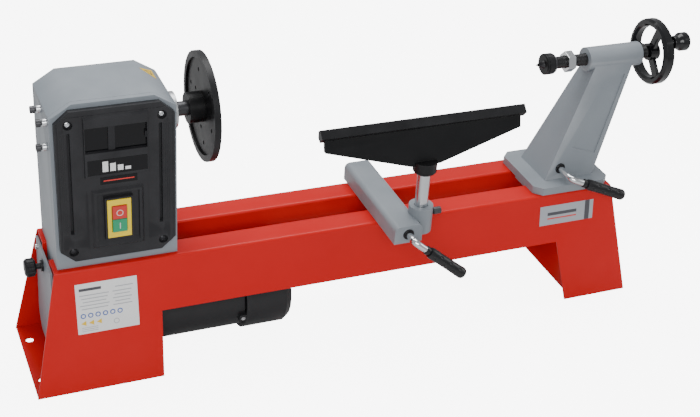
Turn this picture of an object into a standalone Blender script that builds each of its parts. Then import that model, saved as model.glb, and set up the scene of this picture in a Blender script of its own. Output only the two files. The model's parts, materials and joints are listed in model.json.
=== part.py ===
"""Bench-top wood lathe: folded-sheet bed, belt-driven headstock, tool rest and tailstock.

Frame: X runs along the bed from the headstock end, Y across it away from the operator,
Z up.  The origin is on the floor below the left end of the bed's top, on the centre plane.
All lengths are metres.
"""
import math

import bmesh
import bpy
from mathutils import Matrix, Vector

# ---- driving dimensions ---------------------------------------------------------------
GAP = 0.0003                 # clearance between pieces that touch or fit
LAP = 0.001                  # how far a cutter runs past a face

BED_LENGTH = 0.850
BED_HEIGHT = 0.1815
BED_HALF_TOP = 0.060
BED_HALF_FOOT = 0.0871
SHEET = 0.003
BEND_RADIUS = 0.004
SLOT_HALF = 0.0213
SLOT_WALL_DEPTH = 0.0355
LEFT_SPLAY = 0.0364
RIGHT_SPLAY = 0.0398
BEAM_DEPTH = 0.080
LEFT_LEG_WIDTH = 0.1417
LEFT_LEG_TAPER = 0.002
RIGHT_LEG_WIDTH = 0.0895
RIGHT_LEG_TAPER = 0.0216
FOOT_PLATE_DEPTH = 0.095
FOOT_HOLE_RADIUS = 0.0058
FOOT_HOLE_Y = 0.048
FOOT_HOLE_INSET = 0.0137

CENTRE_HEIGHT = 0.189        # spindle axis above the bed
HEAD_X = 0.0057
HEAD_LENGTH = 0.163
HEAD_RISE = 0.0521           # top of the headstock above the spindle axis
HEAD_FRONT = 0.0526
HEAD_BACK = 0.0552
HEAD_WALL = 0.004
CHAMFER_X = 0.0288
CHAMFER_Z = 0.0181
FRONT_FRAME_DEPTH = 0.008
FRAME_RING = 0.030
FRAME_RING_LOW = 0.039
FRAME_RING_HIGH = 0.036
SIDE_SCREWS = ((0.0, 0.0243), (-0.0385, 0.0243), (-0.0300, -0.0149))  # y, height over spindle
SIDE_SCREW_RADIUS = 0.003
SIDE_SCREW_HEAD = 0.005
SIDE_SCREW_REACH = 0.0135
GLAND_RADIUS = 0.008
GLAND_FLANGE = 0.012
GLAND_HEIGHT = 0.040         # gland axis above the bed

COVER_DEPTH = 0.008
COVER_SKIN = 0.0025
COVER_MARGIN_X = 0.0045
COVER_MARGIN_TOP = 0.0065
COVER_MARGIN_BOTTOM = 0.0150
COVER_SCREW_X = 0.060
COVER_SCREW_TOP = 0.0245
COVER_SCREW_BOTTOM = 0.0295
COVER_SCREW_RADIUS = 0.0025
COVER_SCREW_HEAD = 0.0045
COVER_RECESS = 0.006
COVER_CHAMFER_X = 0.019
COVER_CHAMFER_Z = 0.0168
WINDOW_HALF = 0.040
WINDOW_HEIGHT = 0.036
WINDOW_DROP = 0.0306
SWITCH_WIDTH = 0.0316
SWITCH_HEIGHT = 0.057
SWITCH_Z = 0.0770            # switch centre above the bed
SWITCH_PAD = 0.017
SWITCH_PAD_DEPTH = 0.005
SWITCH_PAD_Z = 0.0136
SWITCH_BODY = 0.026
SWITCH_FLANGE = 0.0035
SWITCH_LIP = 0.003
BUTTON_WIDTH = 0.019
BUTTON_TRAVEL = 0.003

SHAFT_RADIUS = 0.010
BEARING_RADIUS = 0.0167
BEARING_WIDTH = 0.012
HOUSING_RADIUS = 0.021
CAP_RADIUS = 0.025
CAP_THICK = 0.011
CAP_CLEARANCE = 0.001
LEFT_BEARING_INSET = 0.002
NOSE_LENGTH = 0.028
HUB_RADIUS = 0.021
HUB_LENGTH = 0.017
FACEPLATE_RADIUS = 0.075
FACEPLATE_RIM = 0.009
FACEPLATE_WEB = 0.006
FACEPLATE_HOLES = ((0.050, 6), (0.030, 3))
FACEPLATE_HOLE_RADIUS = 0.003

PULLEY_X = 0.028
PULLEY_STEP = 0.016
PULLEY_RADII = (0.040, 0.034, 0.028, 0.022)
BELT_STEP = 1
BELT_THICK = 0.003
BELT_WIDTH = 0.012

MOTOR_Z = 0.0705
MOTOR_RADIUS = 0.055
MOTOR_X = 0.112
MOTOR_LENGTH = 0.156
MOTOR_WALL = 0.007
ROTOR_RADIUS = 0.007
CORE_RADIUS = 0.030
CORE_GAP = 0.006
FAN_PLACE = (0.031, 0.055)   # from the motor's end
FAN_COVER_RADIUS = 0.061
FAN_COVER_LENGTH = 0.078
CRADLE_SHEET = 0.003
CRADLE_X = -0.003
CRADLE_TOP = 0.172
CRADLE_FOOT = 0.014
CRADLE_FRONT = 0.062
CRADLE_BACK = 0.071
CRADLE_WEB = (0.040, 0.100)
CRADLE_ARM = 0.009
PIVOT_Y = 0.046
PIVOT_Z = 0.160
PIVOT_RADIUS = 0.004
KNOB_Y = 0.010
KNOB_Z = 0.1513
KNOB_RADIUS = 0.013
KNOB_LENGTH = 0.015
KNOB_NECK = 0.00975
KNOB_FLANGE = 0.0078

BANJO_X = 0.4815
BANJO_HALF = 0.021
BANJO_HEIGHT = 0.027
BANJO_FRONT = 0.122
BANJO_BACK = 0.070
BOSS_X = 0.0305
BOSS_Y = -0.091
BOSS_RADIUS = 0.0175
BOSS_HEIGHT = 0.040
POST_RADIUS = 0.0095
POST_LENGTH = 0.100
REST_SCREW_RADIUS = 0.003
REST_SCREW_HEAD = 0.0054
REST_SCREW_REACH = 0.0135
REST_SCREW_HEIGHT = 0.026    # screw axis above the bed
CASTING_WALL = 0.0025
COLLAR_RADIUS = 0.017
COLLAR_Z = 0.0930            # underside of the collar above the bed
COLLAR_LENGTH = 0.018
REST_LENGTH = 0.308
REST_TOP = 0.1725            # top edge above the bed
REST_BAR = 0.0095
REST_WEB = 0.006
REST_WEB_LEAN = 0.0135
REST_END_DROP = 0.019
CAM_RADIUS = 0.0045
CAM_THROW = 0.0012
CAM_HEIGHT = 0.014           # cam axis above the bed
EYE_RADIUS = 0.010
EYE_BORE = 0.0075
CAM_END = 0.008
BUSH_RADIUS = 0.008
BUSH_LENGTH = 0.012
ROD_RADIUS = 0.005
GRIP_RADIUS = 0.0085
GRIP_LENGTH = 0.072
LEVER_TILT = 12.0            # degrees outwards from the casting
LEVER_BEND = 0.010
LEVER_ROD = 0.020
BANJO_LEVER_TURN = 37.0      # degrees below horizontal
BANJO_LEVER_OUT = 0.022
TAIL_LEVER_TURN = 20.0
TAIL_LEVER_OUT = 0.034
CLAMP_THICK = 0.0075
CLAMP_HALF = 0.040
BOLT_RADIUS = 0.005
BOLT_HEAD = 0.009

TAIL_X = 0.7825
TAIL_HALF_LENGTH = 0.0635
TAIL_HALF_WIDTH = 0.060
TAIL_BASE = 0.012
COLUMN_FOOT = (-0.0385, 0.0435, 0.038)
COLUMN_HEAD = (0.0355, 0.0995, 0.016)
BARREL_START = 0.0235
BARREL_LENGTH = 0.090
BARREL_RADIUS = 0.018
TAIL_CAM_X = -0.013
TAIL_CAM_HEIGHT = 0.0285
TONGUES = ((-0.055, -0.030), (0.034, 0.056))
TONGUE_DEPTH = 0.012
SCREW_RADIUS = 0.0092
SPIGOT_RADIUS = 0.0055
SCREW_START = -0.0310
LOCK_NUT_START = -0.0115
LOCK_NUT_THICK = 0.012
LOCK_NUT_FLATS = 0.028
CENTRE_RADIUS = 0.0157
CENTRE_LENGTH = 0.0165
CENTRE_CONE = 0.0125
CENTRE_BORE = 0.0118
WHEEL_START = 0.1310
WHEEL_WIDTH = 0.0175
WHEEL_RADIUS = 0.050
WHEEL_RIM = 0.011
WHEEL_HUB = 0.013
WHEEL_SPOKE = 0.013
WHEEL_KNOB_RADIUS = 0.014
WHEEL_KNOB_LENGTH = 0.0245
WHEEL_KNOB_ANGLE = 140.0
WHEEL_KNOB_INSET = 0.0068
SPOKE_ANGLE = 110.0

# ---- places worked out from them ------------------------------------------------------
SPINDLE_Z = BED_HEIGHT + CENTRE_HEIGHT
HEAD_END = HEAD_X + HEAD_LENGTH
HEAD_MID = HEAD_X + HEAD_LENGTH / 2
HEAD_BOTTOM = BED_HEIGHT + GAP
HEAD_TOP = SPINDLE_Z + HEAD_RISE
SLOT_FLOOR = BED_HEIGHT - SLOT_WALL_DEPTH
FRAME_BACK = -HEAD_FRONT + FRONT_FRAME_DEPTH
BACK_PLATE_FRONT = HEAD_BACK - HEAD_WALL
GLAND_Z = BED_HEIGHT + GLAND_HEIGHT
COVER_BACK = -HEAD_FRONT - GAP
COVER_FRONT = COVER_BACK - COVER_DEPTH
FRAME_OPENING = ((HEAD_X + FRAME_RING, HEAD_BOTTOM + FRAME_RING_LOW),
                 (HEAD_END - FRAME_RING, HEAD_TOP - FRAME_RING_HIGH))
WINDOW_TOP = HEAD_TOP - WINDOW_DROP
SWITCH_TOP = BED_HEIGHT + SWITCH_Z + SWITCH_HEIGHT / 2
SWITCH_BOTTOM = BED_HEIGHT + SWITCH_Z - SWITCH_HEIGHT / 2
PAD_FRONT = COVER_FRONT - SWITCH_PAD_DEPTH
LEFT_BEARING_X = HEAD_X + HEAD_WALL + LEFT_BEARING_INSET
RIGHT_BEARING_X = HEAD_END - HEAD_WALL - BEARING_WIDTH / 2
NOSE_END = HEAD_END + NOSE_LENGTH
FACEPLATE_BACK = NOSE_END + HUB_LENGTH
FACEPLATE_FRONT = FACEPLATE_BACK + FACEPLATE_RIM
PULLEY_END = PULLEY_X + PULLEY_STEP * len(PULLEY_RADII)
MOTOR_END = MOTOR_X + MOTOR_LENGTH
BELT_HALF = max(PULLEY_RADII) + BELT_THICK
CRADLE_END = MOTOR_X - GAP
CLAMP_TOP = SLOT_FLOOR - GAP
CLAMP_BOTTOM = CLAMP_TOP - CLAMP_THICK
CAM_Z = BED_HEIGHT + CAM_HEIGHT
BANJO_TOP = BED_HEIGHT + GAP + BANJO_HEIGHT
BANJO_ROOM = (-BANJO_FRONT + BUSH_LENGTH + CASTING_WALL, BANJO_BACK - CAM_END - CASTING_WALL)
POST_X = BANJO_X + BOSS_X
BOSS_TOP = BED_HEIGHT + GAP + BOSS_HEIGHT
POST_BOTTOM = BED_HEIGHT + SHEET
COLLAR_BOTTOM = BED_HEIGHT + COLLAR_Z
COLLAR_TOP = COLLAR_BOTTOM + COLLAR_LENGTH
REST_Z = BED_HEIGHT + REST_TOP
REST_SCREW_Z = BED_HEIGHT + REST_SCREW_HEIGHT
TAIL_BASE_TOP = BED_HEIGHT + GAP + TAIL_BASE
TAIL_CAM_Z = BED_HEIGHT + TAIL_CAM_HEIGHT
TAIL_BOLT_X = TAIL_X + TAIL_CAM_X
TAIL_ROOF = TAIL_CAM_Z + EYE_RADIUS + LAP
BARREL_X = TAIL_X + BARREL_START
BARREL_END = BARREL_X + BARREL_LENGTH
SCREW_X = TAIL_X + SCREW_START
CENTRE_X = SCREW_X - CENTRE_LENGTH
WHEEL_X = TAIL_X + WHEEL_START
WHEEL_END = WHEEL_X + WHEEL_WIDTH

# ---- colours and finishes -------------------------------------------------------------
RED = ((0.55, 0.012, 0.010, 1), 0.35, 0.0)
GREY = ((0.29, 0.32, 0.35, 1), 0.45, 0.0)
BLACK = ((0.012, 0.012, 0.014, 1), 0.45, 0.0)
STEEL = ((0.55, 0.56, 0.57, 1), 0.30, 1.0)
DARK_STEEL = ((0.05, 0.05, 0.055, 1), 0.40, 1.0)
ALUMINIUM = ((0.60, 0.61, 0.62, 1), 0.35, 1.0)
YELLOW = ((0.80, 0.60, 0.02, 1), 0.40, 0.0)
BUTTON_RED = ((0.60, 0.03, 0.02, 1), 0.40, 0.0)
BUTTON_GREEN = ((0.02, 0.30, 0.10, 1), 0.40, 0.0)
CLEAR = ((0.05, 0.05, 0.06, 1), 0.10, 0.0)


def clear_scene():
    for item in list(bpy.data.objects):
        bpy.data.objects.remove(item, do_unlink=True)


def material(name, look):
    colour, roughness, metallic = look
    result = bpy.data.materials.new(name)
    result.use_nodes = True
    shader = result.node_tree.nodes["Principled BSDF"]
    shader.inputs["Base Color"].default_value = colour
    shader.inputs["Roughness"].default_value = roughness
    shader.inputs["Metallic"].default_value = metallic
    return result


def place(name, shape, look, origin=(0, 0, 0), parent=None):
    """Turn a shape made in world coordinates into a named object with this origin."""
    bmesh.ops.recalc_face_normals(shape, faces=shape.faces)
    bmesh.ops.translate(shape, verts=shape.verts, vec=-Vector(origin))
    mesh = bpy.data.meshes.new(name)
    shape.to_mesh(mesh)
    shape.free()
    mesh.shade_smooth()
    mesh.set_sharp_from_angle(angle=math.radians(35))
    mesh.materials.append(material(name, look))
    result = bpy.data.objects.new(name, mesh)
    bpy.context.collection.objects.link(result)
    result.location = origin
    if parent:
        result.parent = parent
        result.location = Vector(origin) - parent.location
    return result


def pivot(name, origin, parent=None):
    """An empty on a joint's axis, for the pieces that move with it."""
    result = bpy.data.objects.new(name, None)
    bpy.context.collection.objects.link(result)
    result.location = origin
    if parent:
        result.parent = parent
        result.location = Vector(origin) - parent.location
    bpy.context.view_layer.update()
    return result


# ---- shapes ---------------------------------------------------------------------------
def box(low, high):
    shape = bmesh.new()
    bmesh.ops.create_cube(shape, size=1)
    size = [b - a for a, b in zip(low, high)]
    middle = [(a + b) / 2 for a, b in zip(low, high)]
    bmesh.ops.scale(shape, vec=size, verts=shape.verts)
    bmesh.ops.translate(shape, vec=middle, verts=shape.verts)
    return shape


def prism(outline, axis, start, end):
    """Extrude a flat outline along X, Y or Z; its points leave that coordinate out."""
    place_of = {"X": lambda p: (start, p[0], p[1]),
                "Y": lambda p: (p[0], start, p[1]),
                "Z": lambda p: (p[0], p[1], start)}[axis]
    along = {"X": (1, 0, 0), "Y": (0, 1, 0), "Z": (0, 0, 1)}[axis]
    shape = bmesh.new()
    face = shape.faces.new([shape.verts.new(place_of(point)) for point in outline])
    pushed = bmesh.ops.extrude_face_region(shape, geom=[face])["geom"]
    moved = [item for item in pushed if isinstance(item, bmesh.types.BMVert)]
    bmesh.ops.translate(shape, verts=moved, vec=Vector(along) * (end - start))
    bmesh.ops.recalc_face_normals(shape, faces=shape.faces)
    return shape


def turned(profile, centre, axis="X", sides=24):
    """Spin a profile of (distance along the axis, radius) points round an axis."""
    shape = bmesh.new()
    points = [shape.verts.new((radius, 0, along)) for along, radius in profile]
    closed = not (profile[0][1] == 0 and profile[-1][1] == 0)
    pairs = list(zip(points, points[1:])) + ([(points[-1], points[0])] if closed else [])
    edges = [shape.edges.new(pair) for pair in pairs]
    bmesh.ops.spin(shape, geom=points + edges, cent=(0, 0, 0), axis=(0, 0, 1), dvec=(0, 0, 0),
                   angle=math.tau, steps=sides, use_merge=True, use_duplicate=False)
    bmesh.ops.remove_doubles(shape, verts=shape.verts, dist=0.00001)
    turn = {"X": Matrix.Rotation(math.pi / 2, 3, "Y"),
            "Y": Matrix.Rotation(-math.pi / 2, 3, "X"),
            "Z": Matrix.Identity(3)}[axis]
    bmesh.ops.rotate(shape, verts=shape.verts, cent=(0, 0, 0), matrix=turn)
    bmesh.ops.translate(shape, verts=shape.verts, vec=centre)
    bmesh.ops.recalc_face_normals(shape, faces=shape.faces)
    return shape


def cylinder(start, end, radius, axis, centre, sides=24):
    """A plain cylinder along an axis; centre gives the two other coordinates."""
    along = "XYZ".index(axis)
    middle = list(centre)
    middle.insert(along, 0)
    return turned([(start, 0), (start, radius), (end, radius), (end, 0)], middle, axis, sides)


def combine(base, tool, operation="DIFFERENCE"):
    """Boolean of two shapes, which are used up."""
    pair = []
    for shape in (base, tool):
        mesh = bpy.data.meshes.new("working")
        shape.to_mesh(mesh)
        shape.free()
        item = bpy.data.objects.new("working", mesh)
        bpy.context.collection.objects.link(item)
        pair.append(item)
    step = pair[0].modifiers.new("combine", "BOOLEAN")
    step.operation = operation
    step.solver = "EXACT"
    step.object = pair[1]
    view = bpy.context.evaluated_depsgraph_get()
    result = bmesh.new()
    result.from_mesh(pair[0].evaluated_get(view).to_mesh())
    for item in pair:
        bpy.data.objects.remove(item, do_unlink=True)
    bmesh.ops.remove_doubles(result, verts=result.verts, dist=0.000005)
    return result


def join(base, *tools):
    for tool in tools:
        base = combine(base, tool, "UNION")
    return base


def cut(base, *tools):
    for tool in tools:
        base = combine(base, tool)
    return base


def arc(centre, radius, start, end, steps):
    """Points round an arc, with angles in degrees."""
    angles = [math.radians(start + (end - start) * i / steps) for i in range(steps + 1)]
    return [(centre[0] + radius * math.cos(a), centre[1] + radius * math.sin(a)) for a in angles]


def swept(path, radii, sides=12):
    """A round bar along a path, with a radius at each of its points."""
    shape = bmesh.new()
    path = [Vector(point) for point in path]
    rings = []
    side = Vector((1, 0, 0))
    for i, point in enumerate(path):
        before = path[max(i - 1, 0)]
        after = path[min(i + 1, len(path) - 1)]
        ahead = (after - before).normalized()
        side = (side - ahead * side.dot(ahead)).normalized()
        other = ahead.cross(side)
        ring = []
        for k in range(sides):
            angle = math.tau * k / sides
            offset = side * math.cos(angle) + other * math.sin(angle)
            ring.append(shape.verts.new(point + offset * radii[i]))
        rings.append(ring)
    for first, second in zip(rings, rings[1:]):
        for k in range(sides):
            shape.faces.new((first[k], first[k - 1], second[k - 1], second[k]))
    shape.faces.new(rings[0])
    shape.faces.new(reversed(rings[-1]))
    bmesh.ops.recalc_face_normals(shape, faces=shape.faces)
    return shape


def chamfered(x0, x1, z0, z1, top, bottom=(0, 0)):
    """Outline of a box with chamfered upper and lower corners."""
    outline = [(x0, z0 + bottom[1]), (x0, z1 - top[1]), (x0 + top[0], z1), (x1 - top[0], z1),
               (x1, z1 - top[1]), (x1, z0 + bottom[1])]
    if bottom[0]:
        outline += [(x1 - bottom[0], z0), (x0 + bottom[0], z0)]
    return outline


# ---- bed ------------------------------------------------------------------------------
def side_y(z):
    """Half width of the bed's outer face at this height."""
    return BED_HALF_FOOT + (BED_HALF_TOP - BED_HALF_FOOT) * z / BED_HEIGHT


def rail(name, side):
    """One folded sheet: slot wall, top, and a side that leans out down to the floor."""
    lean = math.atan2(BED_HALF_FOOT - BED_HALF_TOP, BED_HEIGHT)
    inner_bend = BEND_RADIUS - SHEET
    slot_bend = (SLOT_HALF + BEND_RADIUS, BED_HEIGHT - BEND_RADIUS)
    side_bend_y = BED_HALF_TOP - BEND_RADIUS * (1 - math.tan(lean) / 2) / math.cos(lean / 2)
    side_bend = (side_bend_y, BED_HEIGHT - BEND_RADIUS)
    turn_end = math.degrees(lean)
    outer = [(SLOT_HALF, SLOT_FLOOR)] + arc(slot_bend, BEND_RADIUS, 180, 90, 3)
    outer += arc(side_bend, BEND_RADIUS, 90, turn_end, 3)
    inner = [(SLOT_HALF + SHEET, SLOT_FLOOR)] + arc(slot_bend, inner_bend, 180, 90, 3)
    inner += arc(side_bend, inner_bend, 90, turn_end, 3)
    foot_y = outer[-1][0] + outer[-1][1] * math.tan(lean)
    outer.append((foot_y, 0))
    inner.append((foot_y - SHEET / math.cos(lean), 0))
    shape = bmesh.new()

    def end_points(line, splay, edge):
        points = []
        for i, (y, z) in enumerate(line):
            reach = splay * (1 - z / BED_HEIGHT) if i > len(line) - 3 else 0
            points.append(shape.verts.new((edge + reach, side * y, z)))
        return points

    left = [end_points(line, -LEFT_SPLAY, 0) for line in (outer, inner)]
    right = [end_points(line, RIGHT_SPLAY, BED_LENGTH) for line in (outer, inner)]
    for i in range(len(outer) - 1):
        for end in (left, right):
            shape.faces.new((end[0][i], end[0][i + 1], end[1][i + 1], end[1][i]))
        for k in (0, 1):
            shape.faces.new((left[k][i], left[k][i + 1], right[k][i + 1], right[k][i]))
    for i in (0, -1):
        shape.faces.new((left[0][i], left[1][i], right[1][i], right[0][i]))
    bmesh.ops.recalc_face_normals(shape, faces=shape.faces)

    arch_top = BED_HEIGHT - BEAM_DEPTH
    right_leg = BED_LENGTH - RIGHT_LEG_WIDTH
    drop = (arch_top + LAP) / arch_top
    arch = prism([(LEFT_LEG_WIDTH, arch_top), (right_leg, arch_top),
                  (right_leg + RIGHT_LEG_TAPER * drop, -LAP),
                  (LEFT_LEG_WIDTH - LEFT_LEG_TAPER * drop, -LAP)],
                 "Y", side * BED_HALF_TOP, side * (BED_HALF_FOOT + SHEET))
    belt_room = box((PULLEY_X - SHEET * 2, min(0, side * BELT_HALF), SLOT_FLOOR - LAP),
                    (PULLEY_END + SHEET * 2, max(0, side * BELT_HALF), BED_HEIGHT + LAP))
    return place(name, cut(shape, arch, belt_room), RED)


def foot_plate(name, outer_x, inner_x, hole_x):
    """Flat plate between the two rails, on the floor, with its fixing holes."""
    half = side_y(SHEET) - SHEET * 1.02 - GAP
    shape = box((min(outer_x, inner_x), -half, 0), (max(outer_x, inner_x), half, SHEET))
    for y in (-FOOT_HOLE_Y, FOOT_HOLE_Y):
        shape = cut(shape, cylinder(-LAP, SHEET + LAP, FOOT_HOLE_RADIUS, "Z", (hole_x, y), 16))
    return place(name, shape, RED)


def spacer(name, x, hole=False):
    """Plate that ties the two slot walls together."""
    top = BED_HEIGHT - GAP
    low = KNOB_Z - SLOT_HALF / 2 if hole else SLOT_FLOOR + SHEET
    shape = box((x, -SLOT_HALF + GAP, low), (x + SHEET, SLOT_HALF - GAP, top))
    if hole:
        shape = cut(shape, cylinder(x - LAP, x + SHEET + LAP, PIVOT_RADIUS + GAP, "X",
                                    (KNOB_Y, KNOB_Z), 16))
    return place(name, shape, GREY)


def build_bed():
    rail("front_rail", -1)
    rail("back_rail", 1)
    left = -LEFT_SPLAY * (1 - SHEET / BED_HEIGHT)
    right = BED_LENGTH + RIGHT_SPLAY * (1 - SHEET / BED_HEIGHT)
    foot_plate("left_foot_plate", left, left + FOOT_PLATE_DEPTH, -LEFT_SPLAY + FOOT_HOLE_INSET)
    foot_plate("right_foot_plate", right, right - FOOT_PLATE_DEPTH,
               BED_LENGTH + RIGHT_SPLAY - FOOT_HOLE_INSET)
    spacer("left_bed_spacer", HEAD_X, hole=True)
    spacer("right_bed_spacer", BED_LENGTH - SHEET * 2)


# ---- headstock ------------------------------------------------------------------------
def head_outline(inset=0):
    """The headstock seen from the front, with its upper chamfers, shrunk evenly by inset."""
    slope = math.hypot(CHAMFER_X, CHAMFER_Z)
    shoulder = HEAD_TOP - CHAMFER_Z - inset * (slope - CHAMFER_Z) / CHAMFER_X
    corner = CHAMFER_X + inset * (slope - CHAMFER_X) / CHAMFER_Z
    return [(HEAD_X + inset, HEAD_BOTTOM), (HEAD_X + inset, shoulder),
            (HEAD_X + corner, HEAD_TOP - inset), (HEAD_END - corner, HEAD_TOP - inset),
            (HEAD_END - inset, shoulder), (HEAD_END - inset, HEAD_BOTTOM)]


def headstock_shell():
    outer = prism(head_outline(), "Y", FRAME_BACK + GAP, BACK_PLATE_FRONT - GAP)
    hollow = head_outline(HEAD_WALL)
    hollow[0] = (hollow[0][0], HEAD_BOTTOM - LAP)
    hollow[-1] = (hollow[-1][0], HEAD_BOTTOM - LAP)
    shape = cut(outer, prism(hollow, "Y", -HEAD_FRONT - LAP, HEAD_BACK + LAP))
    shape = cut(shape, cylinder(HEAD_END - HEAD_WALL - LAP, HEAD_END + LAP, HOUSING_RADIUS + GAP,
                                "X", (0, SPINDLE_Z), 32))
    for y, rise in SIDE_SCREWS:
        hole = cylinder(HEAD_X - LAP, HEAD_X + HEAD_WALL + LAP, SIDE_SCREW_RADIUS + GAP, "X",
                        (y, SPINDLE_Z + rise), 12)
        shape = cut(shape, hole)
    place("headstock_shell", shape, GREY)


def headstock_back_plate():
    shape = prism(head_outline(), "Y", BACK_PLATE_FRONT, HEAD_BACK)
    gland = cylinder(BACK_PLATE_FRONT - LAP, HEAD_BACK + LAP, GLAND_RADIUS + GAP, "Y",
                     (HEAD_MID, GLAND_Z), 16)
    place("headstock_back_plate", cut(shape, gland), GREY)


def cable_gland():
    """Hollow gland that the supply cord passes through."""
    bore = GLAND_RADIUS / 2
    profile = [(HEAD_BACK - HEAD_WALL * 2, bore), (HEAD_BACK - HEAD_WALL * 2, GLAND_RADIUS),
               (HEAD_BACK + GAP, GLAND_RADIUS), (HEAD_BACK + GAP, GLAND_FLANGE),
               (HEAD_BACK + HEAD_WALL, GLAND_FLANGE), (HEAD_BACK + HEAD_WALL * 4, GLAND_RADIUS),
               (HEAD_BACK + HEAD_WALL * 4, bore)]
    place("cable_gland", turned(profile, (HEAD_MID, 0, GLAND_Z), "Y", 16), BLACK)


def cover_screw_places():
    for x in (HEAD_MID - COVER_SCREW_X, HEAD_MID + COVER_SCREW_X):
        yield x, HEAD_TOP - COVER_SCREW_TOP
        yield x, BED_HEIGHT + COVER_SCREW_BOTTOM


def headstock_front_frame():
    """Cast ring that closes the front edge of the shell and carries the cover."""
    shape = prism(head_outline(), "Y", -HEAD_FRONT, FRAME_BACK)
    (x0, z0), (x1, z1) = FRAME_OPENING
    shape = cut(shape, box((x0, -HEAD_FRONT - LAP, z0), (x1, FRAME_BACK + LAP, z1)))
    for x, z in cover_screw_places():
        shape = cut(shape, cylinder(-HEAD_FRONT - LAP, FRAME_BACK + LAP, COVER_SCREW_RADIUS + GAP,
                                    "Y", (x, z), 12))
    place("headstock_front_frame", shape, GREY)


def belt_cover():
    """Moulded cover over the belt, with a window, a switch pad and counterbored corners."""
    chamfer = (COVER_CHAMFER_X, COVER_CHAMFER_Z)
    shape = prism(chamfered(HEAD_X + COVER_MARGIN_X, HEAD_END - COVER_MARGIN_X,
                            BED_HEIGHT + COVER_MARGIN_BOTTOM, HEAD_TOP - COVER_MARGIN_TOP,
                            chamfer, chamfer), "Y", COVER_FRONT, COVER_BACK)
    pad_half = SWITCH_WIDTH / 2 + SWITCH_PAD
    pad = box((HEAD_MID - pad_half, PAD_FRONT, SWITCH_BOTTOM - SWITCH_PAD_Z),
              (HEAD_MID + pad_half, COVER_FRONT + LAP, SWITCH_TOP + SWITCH_PAD_Z))
    shape = join(shape, pad)
    (x0, z0), (x1, z1) = FRAME_OPENING
    hollow = box((x0, COVER_FRONT + COVER_SKIN, z0), (x1, COVER_BACK + LAP, z1))
    window = box((HEAD_MID - WINDOW_HALF, COVER_FRONT - LAP, WINDOW_TOP - WINDOW_HEIGHT),
                 (HEAD_MID + WINDOW_HALF, COVER_BACK, WINDOW_TOP))
    side = SWITCH_WIDTH / 2 - SWITCH_LIP + GAP
    body = box((HEAD_MID - side, PAD_FRONT - LAP, SWITCH_BOTTOM + SWITCH_LIP - GAP),
               (HEAD_MID + side, COVER_BACK, SWITCH_TOP - SWITCH_LIP + GAP))
    shape = cut(shape, hollow, window, body)
    for x, z in cover_screw_places():
        shape = cut(shape,
                    cylinder(COVER_FRONT - LAP, COVER_FRONT + COVER_DEPTH / 2, COVER_RECESS, "Y",
                             (x, z), 16),
                    cylinder(COVER_FRONT, COVER_BACK + LAP, COVER_SCREW_RADIUS + GAP, "Y",
                             (x, z), 12))
    place("belt_cover", shape, BLACK)


def window_pane():
    side = WINDOW_HALF - GAP
    shape = box((HEAD_MID - side, COVER_FRONT + LAP, WINDOW_TOP - WINDOW_HEIGHT + GAP),
                (HEAD_MID + side, COVER_FRONT + COVER_SKIN + LAP, WINDOW_TOP - GAP))
    place("window_pane", shape, CLEAR)


def cover_screws():
    seat = COVER_FRONT + COVER_DEPTH / 2 - GAP
    for number, (x, z) in enumerate(cover_screw_places(), 1):
        profile = [(seat - COVER_SCREW_RADIUS, 0), (seat - COVER_SCREW_RADIUS, COVER_SCREW_HEAD),
                   (seat, COVER_SCREW_HEAD), (seat, COVER_SCREW_RADIUS),
                   (FRAME_BACK - LAP, COVER_SCREW_RADIUS), (FRAME_BACK - LAP, 0)]
        place("cover_screw_%d" % number, turned(profile, (x, 0, z), "Y", 12), DARK_STEEL)


def side_screws():
    for number, (y, rise) in enumerate(SIDE_SCREWS, 1):
        head = HEAD_X - GAP
        profile = [(head - SIDE_SCREW_REACH, 0), (head - SIDE_SCREW_REACH, SIDE_SCREW_HEAD),
                   (head, SIDE_SCREW_HEAD), (head, SIDE_SCREW_RADIUS),
                   (head + HEAD_WALL * 2, SIDE_SCREW_RADIUS), (head + HEAD_WALL * 2, 0)]
        place("side_screw_%d" % number, turned(profile, (0, y, SPINDLE_Z + rise), "X", 12),
              DARK_STEEL)


def switch():
    """Yellow switch housing and its two push buttons, which travel inwards."""
    back = COVER_BACK + SWITCH_BODY
    flange_front = PAD_FRONT - GAP - SWITCH_FLANGE
    side = SWITCH_WIDTH / 2
    shape = box((HEAD_MID - side, flange_front, SWITCH_BOTTOM),
                (HEAD_MID + side, PAD_FRONT - GAP, SWITCH_TOP))
    side -= SWITCH_LIP
    body = box((HEAD_MID - side, PAD_FRONT - GAP - LAP, SWITCH_BOTTOM + SWITCH_LIP),
               (HEAD_MID + side, back, SWITCH_TOP - SWITCH_LIP))
    shape = join(shape, body)
    half = BUTTON_WIDTH / 2
    middle = (SWITCH_BOTTOM + SWITCH_TOP) / 2
    room = box((HEAD_MID - half - GAP, flange_front - LAP, middle - half * 2 - GAP * 2),
               (HEAD_MID + half + GAP, back - SWITCH_LIP, middle + half * 2 + GAP * 2))
    place("switch_frame", cut(shape, room), YELLOW)
    for name, look, low in (("stop_button", BUTTON_RED, middle + GAP),
                            ("start_button", BUTTON_GREEN, middle - GAP - half * 2)):
        button_back = back - SWITCH_LIP - BUTTON_TRAVEL - LAP
        shape = box((HEAD_MID - half, flange_front - LAP * 2, low),
                    (HEAD_MID + half, button_back, low + half * 2))
        place(name, shape, look, (HEAD_MID, flange_front, low + half))


def build_headstock():
    headstock_shell()
    headstock_back_plate()
    cable_gland()
    headstock_front_frame()
    belt_cover()
    window_pane()
    cover_screws()
    side_screws()
    switch()


# ---- spindle and its bearings ---------------------------------------------------------
def bearing(name, start):
    inner = SHAFT_RADIUS + GAP
    profile = [(start, inner), (start, BEARING_RADIUS), (start + BEARING_WIDTH, BEARING_RADIUS),
               (start + BEARING_WIDTH, inner)]
    place(name, turned(profile, (0, 0, SPINDLE_Z), "X", 24), STEEL)


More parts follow.
